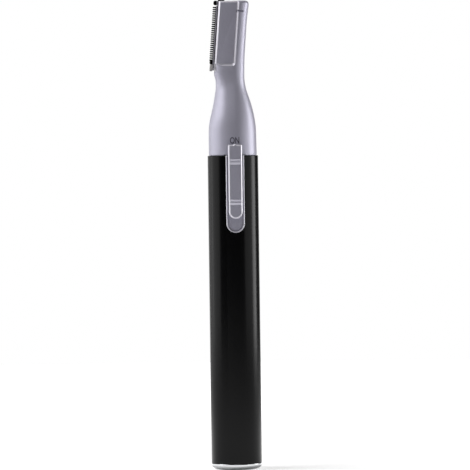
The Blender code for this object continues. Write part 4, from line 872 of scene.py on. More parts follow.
class TRIMMER_OT_switch_tray(bpy.types.Operator):
    """Sweep the raised rim round the recess that the button slides in"""

    bl_idname = "trimmer.switch_tray"
    bl_label = "Switch surround"

    def execute(self, context):
        sizes = context.scene.trimmer_switch
        outer = sizes.rim_reach
        middle = outer - sizes.rim_width / 2
        low, high = SURROUND_LOW.z + SURROUND_HIGH.x - outer, SURROUND_HIGH.z
        centre = low + outer
        path = [(-middle, high, -1.0, 0.0), (-middle, (high + centre) / 2, -1.0, 0.0)]
        for x, z in arc((0, centre), middle, 180, 360, 2 * ARC_STEPS):
            path.append((x, z, x / middle, (z - centre) / middle))
        path += [(middle, (high + centre) / 2, 1.0, 0.0), (middle, high, 1.0, 0.0)]
        half, crest, fall = sizes.rim_width / 2, sizes.rim_crest / 2, sizes.rim_fall
        section = [(-half, None), (-half, fall), (-crest, 0), (crest, 0), (half, fall), (half, None)]
        rings = []
        for x, z, outward, upward in path:
            ring = []
            for offset, sunk in section:
                across, height = x + outward * offset, z + upward * offset
                front = -math.sqrt(sizes.rim_radius**2 - across**2)
                ring.append((across, SURROUND_HIGH.y if sunk is None else front + sunk, height))
            rings.append(ring)
        # The rim's slopes and crest get the painted highlight.
        tray = paint_highlight(lofted("switch_tray", rings), most=ANY_TURN)
        # A groove runs round the floor, so a dark line shows inside the rim.
        back = -sizes.recess + sizes.floor
        for name, reach, front in (
            ("base", middle, -sizes.recess + sizes.groove_depth),
            ("floor", middle - half - sizes.groove_width, -sizes.recess),
        ):
            work(tray, prism(name, u_outline(reach, low + outer - reach, high), front, back), "UNION")
        slot_half = sizes.stem_width / 2 + sizes.gap
        slot_low = sizes.stem_top - sizes.stem_length - sizes.travel - sizes.gap
        slot = block(
            "slot",
            (-slot_half, -sizes.recess - PAST, slot_low),
            (slot_half, -sizes.recess + sizes.floor + PAST, sizes.stem_top + sizes.gap),
        )
        work(tray, slot, "DIFFERENCE")
        finish(tray, "handle", "lavender_plastic", lacquered_abs(), "switch_surround")
        return {"FINISHED"}


def button_ring(sizes, depth, shrink):
    """The button's outline at one depth, drawn in by shrink, with the small mark on its top."""
    half, top = BUTTON_HIGH.x, BUTTON_HIGH.z - sizes.nub_rise - shrink
    nub, end = sizes.nub_width / 2, half - sizes.taper
    outline = arc((0, BUTTON_LOW.z + end), end - shrink, 180, 360, 2 * ARC_STEPS)
    outline += [
        (half - shrink, top),
        (nub, top),
        (nub / 2, top + sizes.nub_rise),
        (-nub / 2, top + sizes.nub_rise),
        (-nub, top),
        (-half + shrink, top),
    ]
    return [(across, depth, up) for across, up in outline]


class TRIMMER_OT_slide_button(bpy.types.Operator):
    """Shape the slide button: bevelled plate, skirt, stem and two groups of grip ribs"""

    bl_idname = "trimmer.slide_button"
    bl_label = "Slide button"

    def execute(self, context):
        sizes = context.scene.trimmer_switch
        material = lacquered_abs()
        half, edge, front = BUTTON_HIGH.x, sizes.edge, BUTTON_FACE
        soft = edge * SOFT_SHARE
        rings = [
            button_ring(sizes, -sizes.plate_back, 0),
            button_ring(sizes, front + edge + soft, 0),
            button_ring(sizes, front + edge, soft * TURN_SHARE),
            button_ring(sizes, front + edge - soft, soft),
            button_ring(sizes, front + soft, edge - soft),
            button_ring(sizes, front + soft * TURN_SHARE, edge),
            button_ring(sizes, front, edge + soft),
        ]
        # The button's bevels get the painted highlight.
        button = paint_highlight(lofted("thumb_slide", rings))
        back = -sizes.plate_back
        skirt_top = BARREL_HIGH.z - sizes.gap
        narrow = half - sizes.taper - OVERLAP
        outline = u_outline(narrow, BUTTON_LOW.z + OVERLAP, skirt_top)
        skirt = prism("skirt", outline, back - edge, -sizes.skirt_back)
        work(button, skirt, "UNION")
        stem_half = sizes.stem_width / 2
        stem = block(
            "stem",
            (-stem_half, back - edge, sizes.stem_top - sizes.stem_length),
            (stem_half, BUTTON_HIGH.y, sizes.stem_top),
        )
        work(button, stem, "UNION")
        top = BUTTON_HIGH.z - sizes.nub_rise
        for group, centre in enumerate((top - sizes.upper_ribs, BUTTON_LOW.z + sizes.lower_ribs)):
            lowest = centre - sizes.rib_pitch * (sizes.rib_count - 1) / 2
            # The crest sits high, so a rib shows a long flank that faces down to the light floor.
            foot, crest = lowest - sizes.rib_width / 2, sizes.rib_width - sizes.rib_crest
            section = [(front + edge / 2, foot + sizes.rib_width), (front, foot + sizes.rib_width)]
            for proud, above in RIB_SHARES:
                section.append((front - proud * sizes.rib_height, foot + crest + above * sizes.rib_crest))
            section += [(front, foot), (front + edge / 2, foot)]
            width = half - sizes.taper - edge - soft / 2
            ribs = prism(f"ribs_{group}", section, -width, width, "X")
            # The ribs get a weaker share of the painted highlight.
            ribs = paint_highlight(ribs, RIB_TURN, share=RIB_HIGHLIGHT_SHARE)
            row = {"Count": sizes.rib_count, "Step": (0.0, 0.0, sizes.rib_pitch), "Material": material}
            work(button, grown(ribs, row_tree(), row), "UNION")
        # The ribs' long flanks are shallow, so they only stay crisp at a small angle.
        finish(button, "switch", "lavender_plastic", material, "slide_button", smooth=FINE_ANGLE)
        return {"FINISHED"}


# Neck and head shell

# Room that the shell leaves round the switch surround.
SURROUND_GAP = 0.3 * MM
HOLLOW_LEVELS = 40
# The cuts in the head, in blade space: left and right are distances across from the blade's corner, a
# depth is half of the cut's, and up, below, low and high are along the blade.
CAVITY_LEFT = 0.2 * MM
CAVITY_DEPTH = 1.2 * MM
CAVITY_BELOW = 2.7 * MM
CAVITY_RIGHT_OF_PANEL = 2.0 * MM
CAVITY_BELOW_TOP = 2.35 * MM
PIN_RIGHT_OF_PANEL = 0.2 * MM
PIN_UP = 2.8 * MM
PIN_RADIUS = 0.7 * MM
PIN_DEPTH = 1.9 * MM
TONGUE_LEFT = 2.6 * MM
TONGUE_DEPTH = 2.2 * MM
TONGUE_UP = 17.85 * MM
# The thumb notch runs from the blade holder into the shell; its depth is taken from the face.
NOTCH_LOW, NOTCH_HIGH = 16.35 * MM, 16.90 * MM
NOTCH_LEFT, NOTCH_RIGHT = 4.95 * MM, 7.1 * MM
SHELL_NOTCH_DEPTH = 0.7 * MM
HOLDER_NOTCH_DEPTH = 0.5 * MM
# How far the seat's and the holder's cut corners grow with their bevels.
SEAT_CORNER_SHARE = 0.3
PANEL_CORNER_SHARE = 0.4


def eased(rows, at):
    """The rows' values at a place between them, on a smooth curve that doesn't overshoot."""
    index = max(i for i in range(len(rows) - 1) if rows[i][0] <= at or i == 0)
    low, high = rows[index], rows[index + 1]
    span = high[0] - low[0]
    share = min(max((at - low[0]) / span, 0.0), 1.0)

    def slope(place, column):
        if place in (0, len(rows) - 1):
            return 0.0
        before, here, after = rows[place - 1], rows[place], rows[place + 1]
        rise = (here[column] - before[column]) / (here[0] - before[0])
        climb = (after[column] - here[column]) / (after[0] - here[0])
        return 0.0 if rise * climb <= 0 else 2 * rise * climb / (rise + climb)

    values = []
    for column in range(1, len(low)):
        start, end = slope(index, column) * span, slope(index + 1, column) * span
        square, cube = share**2, share**3
        values.append(
            (2 * cube - 3 * square + 1) * low[column]
            + (cube - 2 * square + share) * start
            + (3 * square - 2 * cube) * high[column]
            + (cube - square) * end
        )
    return values


def panel_line(height):
    """Where the head is thickest at a height, just right of the blade holder."""
    sizes = bpy.context.scene.trimmer_head
    corner = head_matrix(sizes).translation
    return corner.x + sizes.ridge + (height - corner.z) * math.tan(sizes.lean)


def shell_section(height):
    """Left reach, right reach, half depth and squareness of the shell at a height."""
    sizes = bpy.context.scene.trimmer_head
    base = BARREL_HIGH.z
    waist = base + sizes.neck_length
    flare = sizes.head_left - sizes.waist_left
    if height < waist:
        left, right, depth, out, square = eased(NECK_SHARES, (height - base) / sizes.neck_length)
        return (
            mix(sizes.neck_radius, sizes.waist_left, left) + flare * out,
            mix(sizes.neck_radius, sizes.waist_right, right),
            mix(sizes.neck_radius, sizes.depth, depth),
            square,
        )
    right, depth, square = eased(HEAD_SHARES, (height - waist) / (HEAD_HIGH.z - waist))
    return (
        sizes.head_left,
        mix(sizes.waist_right, sizes.head_right, right),
        mix(sizes.neck_radius, sizes.depth, depth),
        square,
    )


def section_ring(height, left, right, depth, square, inset, steps=ROUND_STEPS):
    """A closed section: round on the right, squarer on the left as the head begins."""
    centre = panel_line(height) * square
    points = []
    for step in range(steps):
        angle = 2 * math.pi * step / steps
        across, along = math.cos(angle), math.sin(angle)
        to_left = across < 0
        bulge = mix(ROUND_POWER, SQUARE_POWER, square) if to_left else ROUND_POWER
        reach = left + centre - inset if to_left else right - centre - inset
        x = centre + math.copysign(abs(across) ** (2 / bulge), across) * reach
        y = math.copysign(abs(along) ** (2 / bulge), along) * (depth - inset)
        points.append((x, y, height))
    return points


def shell_outside():
    """Rings from the spigot in the barrel up the neck to the rounded top of the head."""
    sizes = bpy.context.scene.trimmer_head
    spigot = bpy.context.scene.trimmer_barrel.spigot_radius
    foot = BARREL_HIGH.z + sizes.neck_gap
    edge = sizes.neck_edge
    rings = [section_ring(height, spigot, spigot, spigot, 0, 0) for height in (HEAD_LOW.z, foot)]
    for step in range(FILLET_STEPS + 1):
        angle = math.pi / 2 * step / FILLET_STEPS
        height = foot + edge * (1 - math.cos(angle))
        rings.append(section_ring(height, *shell_section(height), edge * (1 - math.sin(angle))))
    low = HEAD_HIGH.z - sizes.top_edge
    levels = int((low - foot - edge) / SECTION_PITCH)
    for level in range(1, levels):
        height = mix(foot + edge, low, level / levels)
        rings.append(section_ring(height, *shell_section(height), 0))
    for step in range(2 * FILLET_STEPS + 1):
        angle = math.pi / 2 * step / (2 * FILLET_STEPS)
        height = low + sizes.top_edge * math.sin(angle)
        inset = sizes.top_edge * (1 - math.cos(angle))
        rings.append(section_ring(height, *shell_section(height), inset))
    return lofted("shell", rings)


def shell_hollow():
    """The room inside the spigot and the neck, up to where the head cavity takes over."""
    sizes = bpy.context.scene.trimmer_head
    bore = sizes.bore
    foot = BARREL_HIGH.z + sizes.neck_gap + sizes.neck_edge
    rings = [
        section_ring(height, bore, bore, bore, 0, 0, RING_STEPS) for height in (HEAD_LOW.z - PAST, foot)
    ]
    top = head_matrix(sizes).translation.z - sizes.wall
    for level in range(HOLLOW_LEVELS + 1):
        height = mix(foot, top, level / HOLLOW_LEVELS)
        rings.append(section_ring(height, *shell_section(height), sizes.wall, RING_STEPS))
    return lofted("hollow", rings)


def level_up(across, height):
    """How far up the blade a level line at a height over the blade's corner stands."""
    lean = bpy.context.scene.trimmer_head.lean
    return (height + across * math.sin(lean)) / math.cos(lean)


def in_head(piece):
    """Moves a shape that was drawn in blade space to its place in the head."""
    piece.data.transform(head_matrix(bpy.context.scene.trimmer_head))
    return piece


class TRIMMER_OT_head_shell(bpy.types.Operator):
    """Loft the bottle-shaped neck and leaning head, hollow it, cut the blade seat and part it"""

    bl_idname = "trimmer.head_shell"
    bl_label = "Neck and head shell"

    def execute(self, context):
        sizes = context.scene.trimmer_head
        blade = context.scene.trimmer_blade
        gap, depth = blade.panel_gap, sizes.depth
        shell = shell_outside()
        channel = SURROUND_HIGH.x + SURROUND_GAP
        low, high = (-channel, -BARREL_HIGH.x, HEAD_LOW.z - PAST), (channel, 0, BARREL_HIGH.z + SURROUND_GAP)
        work(shell, block("room", low, high), "DIFFERENCE")
        work(shell, shell_hollow(), "DIFFERENCE")
        low = (CAVITY_LEFT, -CAVITY_DEPTH, -CAVITY_BELOW)
        right = blade.panel_width + CAVITY_RIGHT_OF_PANEL
        cavity = block("cavity", low, (right, CAVITY_DEPTH, blade.panel_length - CAVITY_BELOW_TOP))
        pivot = arc((blade.panel_width + PIN_RIGHT_OF_PANEL, PIN_UP), PIN_RADIUS, 0, 360)[:-1]
        work(cavity, prism("pin_seats", pivot, -PIN_DEPTH, PIN_DEPTH), "UNION")
        work(shell, in_head(cavity), "DIFFERENCE")
        right = blade.panel_width + gap
        far, top = -blade.panel_width, blade.panel_length + 3 * PAST
        sink = blade.seat_sink
        steps = (depth + sink) / sink
        rings = []
        for place, share in ((-2 * depth, steps), (sink - depth, 0), (depth - sink, 0), (2 * depth, steps)):
            side = right + blade.seat_edge * share
            foot = blade.panel_rise - gap - blade.seat_foot * share
            corner = blade.panel_corner + SEAT_CORNER_SHARE * blade.seat_edge * share
            ring = [
                (far, level_up(far, foot)),
                (side - corner, level_up(side - corner, foot)),
                (side, level_up(side, foot) + corner),
                (side, top),
                (far, top),
            ]
            rings.append([(across, place, up) for across, up in ring])
        # The seat's bevels get the painted highlight.
        seat = paint_highlight(lofted("seat", rings))
        low, high = (TONGUE_LEFT, -TONGUE_DEPTH, -PAST), (right + PAST, TONGUE_DEPTH, TONGUE_UP)
        work(seat, block("tongue", low, high), "DIFFERENCE")
        for side in (-1, 1):
            ends = sorted((side * (depth - SHELL_NOTCH_DEPTH), side * (depth + PAST)))
            low = (blade.panel_width - PAST, ends[0], NOTCH_LOW)
            work(seat, block("notch", low, (NOTCH_RIGHT, ends[1], NOTCH_HIGH)), "UNION")
        work(shell, in_head(seat), "DIFFERENCE")
        material = lacquered_abs()
        beyond = 2 * BARREL_HIGH.x
        for side, name, node in (
            (-1, "neck_and_head_front", "head_shell_front"),
            (1, "neck_and_head_back", "head_shell_back"),
        ):
            piece = bpy.data.objects.new(name, shell.data.copy())
            context.scene.collection.objects.link(piece)
            ends = sorted((side * sizes.seam / 2, side * beyond))
            half = block("half", (-beyond, ends[0], 0), (beyond, ends[1], HEAD_HIGH.z + PAST))
            work(piece, half, "INTERSECT")
            # A strip of painted highlight continues the blade holder's bevel line down the shell, beside the
            # comb's foot.
            paint_highlight_strip(piece, sizes.highlight_strip_reach, -sizes.highlight_strip_length, blade.panel_rise)
            finish(piece, "handle", "lavender_plastic", material, node)
        drop(shell)
        return {"FINISHED"}


# Blade holder and blades

# Places in blade space again: a front or back below zero lies before the middle of the head, and a left
# below zero lies left of the blade's corner.
HOLDER_EDGE = 0.04 * MM
HOLDER_EDGE_ANGLE = math.radians(20)
# The bevel's first, slight turn, as a share of its width.
SLIGHT_SHARE = 1 / 5
HOLDER_FLOOR = 1.1 * MM
HOLDER_CEILING = 0.7 * MM
MOUTH_LEFT, MOUTH_UP = 2.3 * MM, 2.0 * MM
SLOT_FRONT, SLOT_BACK = -2.05 * MM, -0.45 * MM
SLOT_RIGHT, SLOT_UP = 1.6 * MM, 0.9 * MM
BLADE_EDGE = 0.03 * MM
COMB_FRONT, CUTTER_FRONT = -1.75 * MM, -1.10 * MM
# Distances of the end teeth's middles: above the corner, and above the last tooth.
LOWER_END, UPPER_END = 0.90 * MM, 1.36 * MM
END_TOOTH_LEFT, END_TOOTH_ROOT = -1.90 * MM, -0.58 * MM
TAB_RISE = 1.0 * MM
TAB_RIGHT = 1.3 * MM
COMB_RIGHT, COMB_UP = 2.0 * MM, 1.2 * MM
# The strip that the comb keeps beside its foot, down over the grey block.
STRIP_RIGHT, STRIP_LEFT, STRIP_DOWN = -0.50 * MM, -1.02 * MM, -1.5 * MM
COMB_BACK_LEFT = -0.6 * MM
# How far comb and cutter run on past the middles of their first and last teeth.
COMB_MARGIN = 0.40 * MM
CUTTER_MARGINS = (0.30 * MM, 0.55 * MM)
CUTTER_RIGHT = 1.6 * MM
GUARD_LOW = (-1.76 * MM, -2.1 * MM, -1.75 * MM)
GUARD_HIGH = (-0.90 * MM, -0.275 * MM, 0.245 * MM)
GUARD_EDGE = 0.2 * MM

TOOTH_SIDES = 12
TOOTH_POWER = 0.5
# Half-way point of a tooth, and its thickness there, as shares of its length and the blade's thickness.
MIDDLE_SHARE, MIDDLE_THICK_SHARE = 0.45, 0.98
# The rounded tip: distance from the end and width as shares of the tip's width, then thickness.
TIP_SHARES = ((0.3, 1.0, 0.8), (0.12, 0.94, 0.66), (0.03, 0.76, 0.5), (0.0, 0.4, 0.3))
# An end tooth's dome: how proud it stands, how near its pole it is drawn, and how full it is.
DOME_RISE_SHARE, DOME_POLE_SHARE, DOME_POWER = 1.1, 0.98, 0.6


def panel_outline(blade, left_inset, inset, top_inset):
    """The blade holder's face in blade space, its top level with the head's, one corner cut."""
    head = bpy.context.scene.trimmer_head
    left, right = left_inset - blade.panel_left, blade.panel_width - inset
    low = blade.panel_rise + inset
    top = HEAD_HIGH.z - blade.panel_below_top - head_matrix(head).translation.z - top_inset
    corner = blade.panel_corner + inset * PANEL_CORNER_SHARE
    return [
        (left, level_up(left, low)),
        (right - corner, level_up(right - corner, low)),
        (right, level_up(right, low) + corner),
        (right, level_up(right, top)),
        (left, level_up(left, top)),
    ]


class TRIMMER_OT_blade_holder(bpy.types.Operator):
    """Shape the blade holder: two bevelled cheeks over the head's tongue"""

    bl_idname = "trimmer.blade_holder"
    bl_label = "Blade holder"

    def execute(self, context):
        blade = context.scene.trimmer_blade
        depth = blade.panel_depth
        edge, fall, slight = blade.panel_edge, blade.panel_fall, blade.panel_edge * SLIGHT_SHARE
        rings = []
        for place, wide, narrow in (
            (-depth, edge, slight),
            (slight - depth, edge * (1 - slight / fall), 0),
            (fall - depth, 0, 0),
            (depth - fall, 0, 0),
            (depth - slight, edge * (1 - slight / fall), 0),
            (depth, edge, slight),
        ):
            outline = panel_outline(blade, wide, narrow, wide)
            rings.append([(across, place, up) for across, up in outline])
        # The holder's bevels get the painted highlight.
        holder = paint_highlight(soften(lofted("blade_holder", rings), HOLDER_EDGE, 2, HOLDER_EDGE_ANGLE))
        inner = depth - blade.cheek
        left, right = -blade.panel_left - PAST, blade.panel_width + PAST
        ceiling = blade.panel_length - HOLDER_CEILING
        for name, low, high in (
            ("cavity", (CAVITY_LEFT, -inner, HOLDER_FLOOR), (right, inner, ceiling)),
            ("mouth", (MOUTH_LEFT, -inner, -PAST), (right, inner, MOUTH_UP)),
            ("slot", (left, SLOT_FRONT, SLOT_UP), (SLOT_RIGHT, SLOT_BACK, blade.panel_length + PAST)),
        ):
            work(holder, block(name, low, high), "DIFFERENCE")
        for side in (-1, 1):
            ends = sorted((side * (depth - HOLDER_NOTCH_DEPTH), side * (depth + PAST)))
            notch = block("notch", (NOTCH_LEFT, ends[0], NOTCH_LOW), (right, ends[1], NOTCH_HIGH))
            work(holder, notch, "DIFFERENCE")
        finish(in_head(holder), "cassette", "lavender_plastic", lacquered_abs(), "blade_cassette")
        return {"FINISHED"}


def rounded(value):
    """Pulls a point of a circle out towards a square with rounded corners."""
    return math.copysign(abs(value) ** TOOTH_POWER, value)


def tooth(name, blade, root, tip, front):
    """One tooth of a blade: tapered, with a rounded tip ground thinner than its root."""
    middle = front + blade.thickness / 2
    half_way = mix(root, tip, MIDDLE_SHARE)
    half_width = mix(blade.root_width, blade.tip_width, MIDDLE_SHARE)
    rows = [(root - OVERLAP, blade.root_width, 1.0), (half_way, half_width, MIDDLE_THICK_SHARE)]
    for back, width, thick in TIP_SHARES:
        rows.append((tip - back * blade.tip_width, blade.tip_width * width, thick))
    rings = []
    for place, width, thick in rows:
        half, deep = width / 2, blade.thickness * thick / 2
        ring = []
        for step in range(TOOTH_SIDES):
            angle = 2 * math.pi * (step + 0.5) / TOOTH_SIDES
            depth = middle + rounded(math.sin(angle)) * deep
            ring.append((-place, depth, blade.first_tooth + rounded(math.cos(angle)) * half))
        rings.append(ring)
    return lofted(name, rings)


def end_tooth(name, blade, centre, front):
    """A stout end tooth: a domed button on a short neck."""
    radius, corner = blade.end_tooth / 2, blade.end_corner
    left = END_TOOTH_LEFT + corner
    rings = []
    for step in range(-FILLET_STEPS, FILLET_STEPS + 1):
        angle = math.pi / 2 * step / FILLET_STEPS * DOME_POLE_SHARE
        place = front + blade.thickness / 2 + blade.thickness * math.sin(angle) * DOME_RISE_SHARE
        share = math.cos(angle) ** DOME_POWER
        reach, turn = radius * share, corner * share
        outline = [(END_TOOTH_ROOT, centre - reach)]
        outline += arc((left, centre - reach + turn), turn, 270, 180, FILLET_STEPS)
        outline += arc((left, centre + reach - turn), turn, 180, 90, FILLET_STEPS)
        outline.append((END_TOOTH_ROOT, centre + reach))
        rings.append([(across, place, up) for across, up in outline])
    return lofted(name, rings)


class TRIMMER_OT_blades(bpy.types.Operator):
    """Shape the fixed comb, the moving cutter behind it, and the block below"""

    bl_idname = "trimmer.blades"
    bl_label = "Comb and cutter"

    def execute(self, context):
        blade = context.scene.trimmer_blade
        steel = blackened_steel()
        row = {"Count": blade.teeth, "Step": (0.0, 0.0, blade.pitch), "Material": steel}
        first = blade.first_tooth
        last = first + (blade.teeth - 1) * blade.pitch
        root, tab = -blade.comb_root, blade.panel_length + TAB_RISE
        outline = [
            (COMB_RIGHT, COMB_UP),
            (STRIP_RIGHT, COMB_UP),
            (STRIP_RIGHT, STRIP_DOWN),
            (STRIP_LEFT, STRIP_DOWN),
            (STRIP_LEFT, first - COMB_MARGIN),
            (root, first - COMB_MARGIN),
            (root, last + COMB_MARGIN),
            (COMB_BACK_LEFT, last + COMB_MARGIN),
            (COMB_BACK_LEFT, tab),
            (TAB_RIGHT, tab),
            (TAB_RIGHT, TONGUE_UP),
            (COMB_RIGHT, TONGUE_UP),
        ]
        comb = prism("comb_blade", outline, COMB_FRONT, COMB_FRONT + blade.thickness)
        comb = soften(comb, BLADE_EDGE)
        one = tooth("comb_teeth", blade, blade.comb_root, blade.comb_tip, COMB_FRONT)
        work(comb, grown(one, row_tree(), row), "UNION")
        for centre in (LOWER_END, last + UPPER_END):
            work(comb, end_tooth("end_tooth", blade, centre, COMB_FRONT), "UNION")
        finish(in_head(comb), "cassette", "black_blade", steel, "fixed_comb")

        low = (-blade.cutter_root, CUTTER_FRONT, first - CUTTER_MARGINS[0])
        high = (CUTTER_RIGHT, CUTTER_FRONT + blade.thickness, last + CUTTER_MARGINS[1])
        cutter = soften(block("cutting_blade", low, high), BLADE_EDGE)
        one = tooth("cutter_teeth", blade, blade.cutter_root, blade.cutter_tip, CUTTER_FRONT)
        work(cutter, grown(one, row_tree(), row), "UNION")
        finish(in_head(cutter), "cutter", "black_blade", steel, "moving_cutter")

        guard = soften(block("comb_foot", GUARD_LOW, GUARD_HIGH), GUARD_EDGE, 4)
        # Moulded in a ground tool: light grey with a soft gloss and hardly any texture.
        tint = context.scene.trimmer_colours.guard
        material = moulded("Grey moulded ABS", tint, rough=0.35, grain=0.4 * MM, depth=0.004 * MM)
        finish(in_head(guard), "cassette", "bright_steel", material, "comb_guard")
        return {"FINISHED"}


# Lettering

WORD_HEIGHT, WORD_WIDTH, WORD_FOOT = 1.95 * MM, 2.8 * MM, 96.6 * MM
FILM = 0.02 * MM
# Stroke weight and thickness of the letters before they are scaled, in text units.
STROKE_OFFSET, STROKE_DEPTH = 0.02, 0.01
WORD_STRIPS = 24


class TRIMMER_OT_lettering(bpy.types.Operator):
    """Print ON over the slide button, as a thin film of ink on the neck"""

    bl_idname = "trimmer.lettering"
    bl_label = "Switch lettering"

    def execute(self, context):
        words = bpy.data.curves.new("on_lettering", "FONT")
        words.body = "ON"
        words.resolution_u = FILLET_STEPS
        words.offset = STROKE_OFFSET
        words.fill_mode = "BOTH"
        words.extrude = STROKE_DEPTH
        source = bpy.data.objects.new("words", words)
        context.scene.collection.objects.link(source)
        graph = context.evaluated_depsgraph_get()
        mesh = bpy.data.meshes.new_from_object(source.evaluated_get(graph), depsgraph=graph)
        bpy.data.objects.remove(source)
        letters = bpy.data.objects.new("on_lettering", mesh)
        context.scene.collection.objects.link(letters)
        xs = [v.co.x for v in mesh.vertices]
        ys = [v.co.y for v in mesh.vertices]
        across = WORD_WIDTH / (max(xs) - min(xs))
        up = WORD_HEIGHT / (max(ys) - min(ys))
        shape = bmesh.new()
        shape.from_mesh(mesh)
        for vertex in shape.verts:
            x, y, z = vertex.co
            vertex.co = ((x - (max(xs) + min(xs)) / 2) * across, -z, WORD_FOOT + (y - min(ys)) * up)
        # Cut into narrow strips, so that the film can follow the round neck.
        for cut in range(1, WORD_STRIPS):
            place = mix(-WORD_WIDTH / 2, WORD_WIDTH / 2, cut / WORD_STRIPS)
            bmesh.ops.bisect_plane(
                shape,
                geom=shape.verts[:] + shape.edges[:] + shape.faces[:],
                plane_co=(place, 0, 0),
                plane_no=(1, 0, 0),
                dist=MERGE_DISTANCE,
            )
        for vertex in shape.verts:
            left, right, depth, square = shell_section(vertex.co.z)
            face = -depth * math.sqrt(1 - (vertex.co.x / right) ** 2)
            vertex.co.y = face - FILM if vertex.co.y < 0 else face + FILM
        shape.to_mesh(mesh)
        shape.free()
        # Ink pressed on by a soft pad: a thin, matt film, slightly uneven.
        tint = context.scene.trimmer_colours.ink
        material = moulded("Pad-printing ink", tint, rough=0.55, grain=0.3 * MM, depth=0.002 * MM)
        finish(letters, "handle", "dark_plastic", material)
        return {"FINISHED"}


# Inner pieces

# The real marks of tools are finer than these, which are drawn coarse enough to show in a close view.
# Each metal: colour, least and most roughness, grain and depth of its marks, and how they are stretched.
INNER_METALS = {
    # Stamped or drawn, then tumbled: a soft shine with fine, even marks.
    "Bright steel": ("steel", (0.18, 0.3), 0.3 * MM, 0.004 * MM),
    # A thin plate over rolled strip: smooth, and a little yellow.
    "Nickel-plated brass": ("brass", (0.22, 0.34), 0.4 * MM, 0.004 * MM),
    # Bars of drawn copper: fine lines along the shaft.
    "Commutator copper": ("copper", (0.25, 0.4), 0.2 * MM, 0.004 * MM, (1, 1, 0.1)),
    # Powder pressed, baked and soaked with oil: brown, dull and grainy.
    "Sintered bronze": ("bronze", (0.4, 0.55), 0.1 * MM, 0.01 * MM),
}
# Each plastic or ceramic: colour, roughness, grain and depth of its marks, and index of refraction.
INNER_MOULDINGS = {
    # Powder pressed and baked: dark grey, dull, with small pores.
    "Sintered ferrite": ("ferrite", 0.6, 0.1 * MM, 0.02 * MM, 2.0),
    # Moulded in a smooth tool: milky white with a soft gloss.
    "White nylon": ("nylon", 0.45, 0.5 * MM, 0.006 * MM, 1.53),
    # Moulded in an etched tool: black and satin, with a fine texture.
    "Black moulded ABS": ("housing", 0.5, 0.3 * MM, 0.01 * MM, 1.54),
    # Film shrunk round the cell: smooth and glossy, with slight waves.
    "Shrink-sleeve jacket": ("jacket", 0.25, 3.0 * MM, 0.01 * MM, 1.54),
}
INNER_PIECES = {
    "Bright steel": (
        "motor_can",
        "rocker_pin",
        "motor_shaft",
        "motor_armature",
        "cutter_spring",
        "battery_spring",
    ),
    "Nickel-plated brass": (
        "brush_left",
        "brush_right",
        "negative_strip",
        "motor_contact",
        "positive_contact",
        "moving_contact",
    ),
    "Commutator copper": ("motor_commutator",),
    "Sintered bronze": ("motor_bush",),
    "Sintered ferrite": ("magnet_left", "magnet_right"),
    "White nylon": ("motor_end_bell", "eccentric", "rocker", "cutter_block"),
    "Black moulded ABS": ("battery_liner", "chassis", "switch_carrier"),
    "Shrink-sleeve jacket": ("battery_cell",),
}


class TRIMMER_OT_inner_pieces(bpy.types.Operator):
    """Give every inner node the finish of its real material"""

    bl_idname = "trimmer.inner_pieces"
    bl_label = "Inner pieces"

    def execute(self, context):
        colours = context.scene.trimmer_colours
        for make, looks in ((metal, INNER_METALS), (moulded, INNER_MOULDINGS)):
            for finish_name, (tint, *look) in looks.items():
                material = make(finish_name, getattr(colours, tint), *look)
                for name in INNER_PIECES[finish_name]:
                    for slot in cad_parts[name].material_slots:
                        slot.material = material
        return {"FINISHED"}


# Stage

# Each soft box: heading in degrees, 0 at the camera's side and 90 on the right, then distance from the
# object's axis, height over the floor, width and height of its face in metres, and its power's name.
LAMPS = {
    "left_softbox": (-97, 0.68, 0.13, 0.64, 0.46, "left_power"),
    "back_softbox": (-130, 0.68, 0.13, 0.34, 0.46, "back_power"),
    "high_softbox": (-88, 0.52, 0.55, 0.50, 0.40, "high_power"),
    "right_softbox": (66, 0.68, 0.13, 0.50, 0.46, "right_power"),
    "right_strip": (100, 0.68, 0.13, 0.28, 0.46, "strip_power"),
    "front_fill": (0, 0.50, 0.60, 0.40, 0.30, "fill_power"),
    "top_softbox": (180, 0.10, 0.75, 0.60, 0.40, "top_power"),
}
LAMP_AIM = Vector((0.0, 0.0, 0.075))

CAMERA_PLACE = Vector((-0.0971, -1.1559, 0.0930))
CAMERA_AIM = Vector((0.00034, 0.0, 0.0695))
CAMERA_ROLL = math.radians(0.747)
CAMERA_NEAR, CAMERA_FAR = 0.05, 20.0

FLOOR_RADIUS, FLOOR_STEPS = 0.6, 96
# Distances on the floor from the object's axis, in metres, over which its white changes.
GLOW_NEAR, GLOW_FAR = 0.03, 0.3
SHEET_NEAR, SHEET_FAR = 0.07, 0.24
# Under the object the floor's white for gloss fades out: a painted shadow.
PAINTED_SHADOW_NEAR, PAINTED_SHADOW_FAR = 0.0075, 0.012
# How white the floor glows beside the object, and how white the sheet is that gloss sees.
GLOW_LEVEL, SHEET_LEVEL = 0.55, 0.7
# The white cloth behind the object fills the directions that point this much along Y.
CLOTH_START, CLOTH_END = 0.84, 0.95
ROOM_COLOUR = (0.05, 0.05, 0.05, 1.0)
WHITE = (1.0, 1.0, 1.0, 1.0)


def lamp(name, heading, far, up, width, height, watts):
    """A soft box turned to the object."""
    turn = math.radians(heading)
    light = bpy.data.lights.new(name, "AREA")
    light.shape = "RECTANGLE"
    light.size = width
    light.size_y = height
    light.energy = watts
    thing = bpy.data.objects.new(name, light)
    thing.location = (far * math.sin(turn), -far * math.cos(turn), up)
    thing.rotation_euler = (thing.location - LAMP_AIM).to_track_quat("Z", "Y").to_euler()
    bpy.context.scene.collection.objects.link(thing)


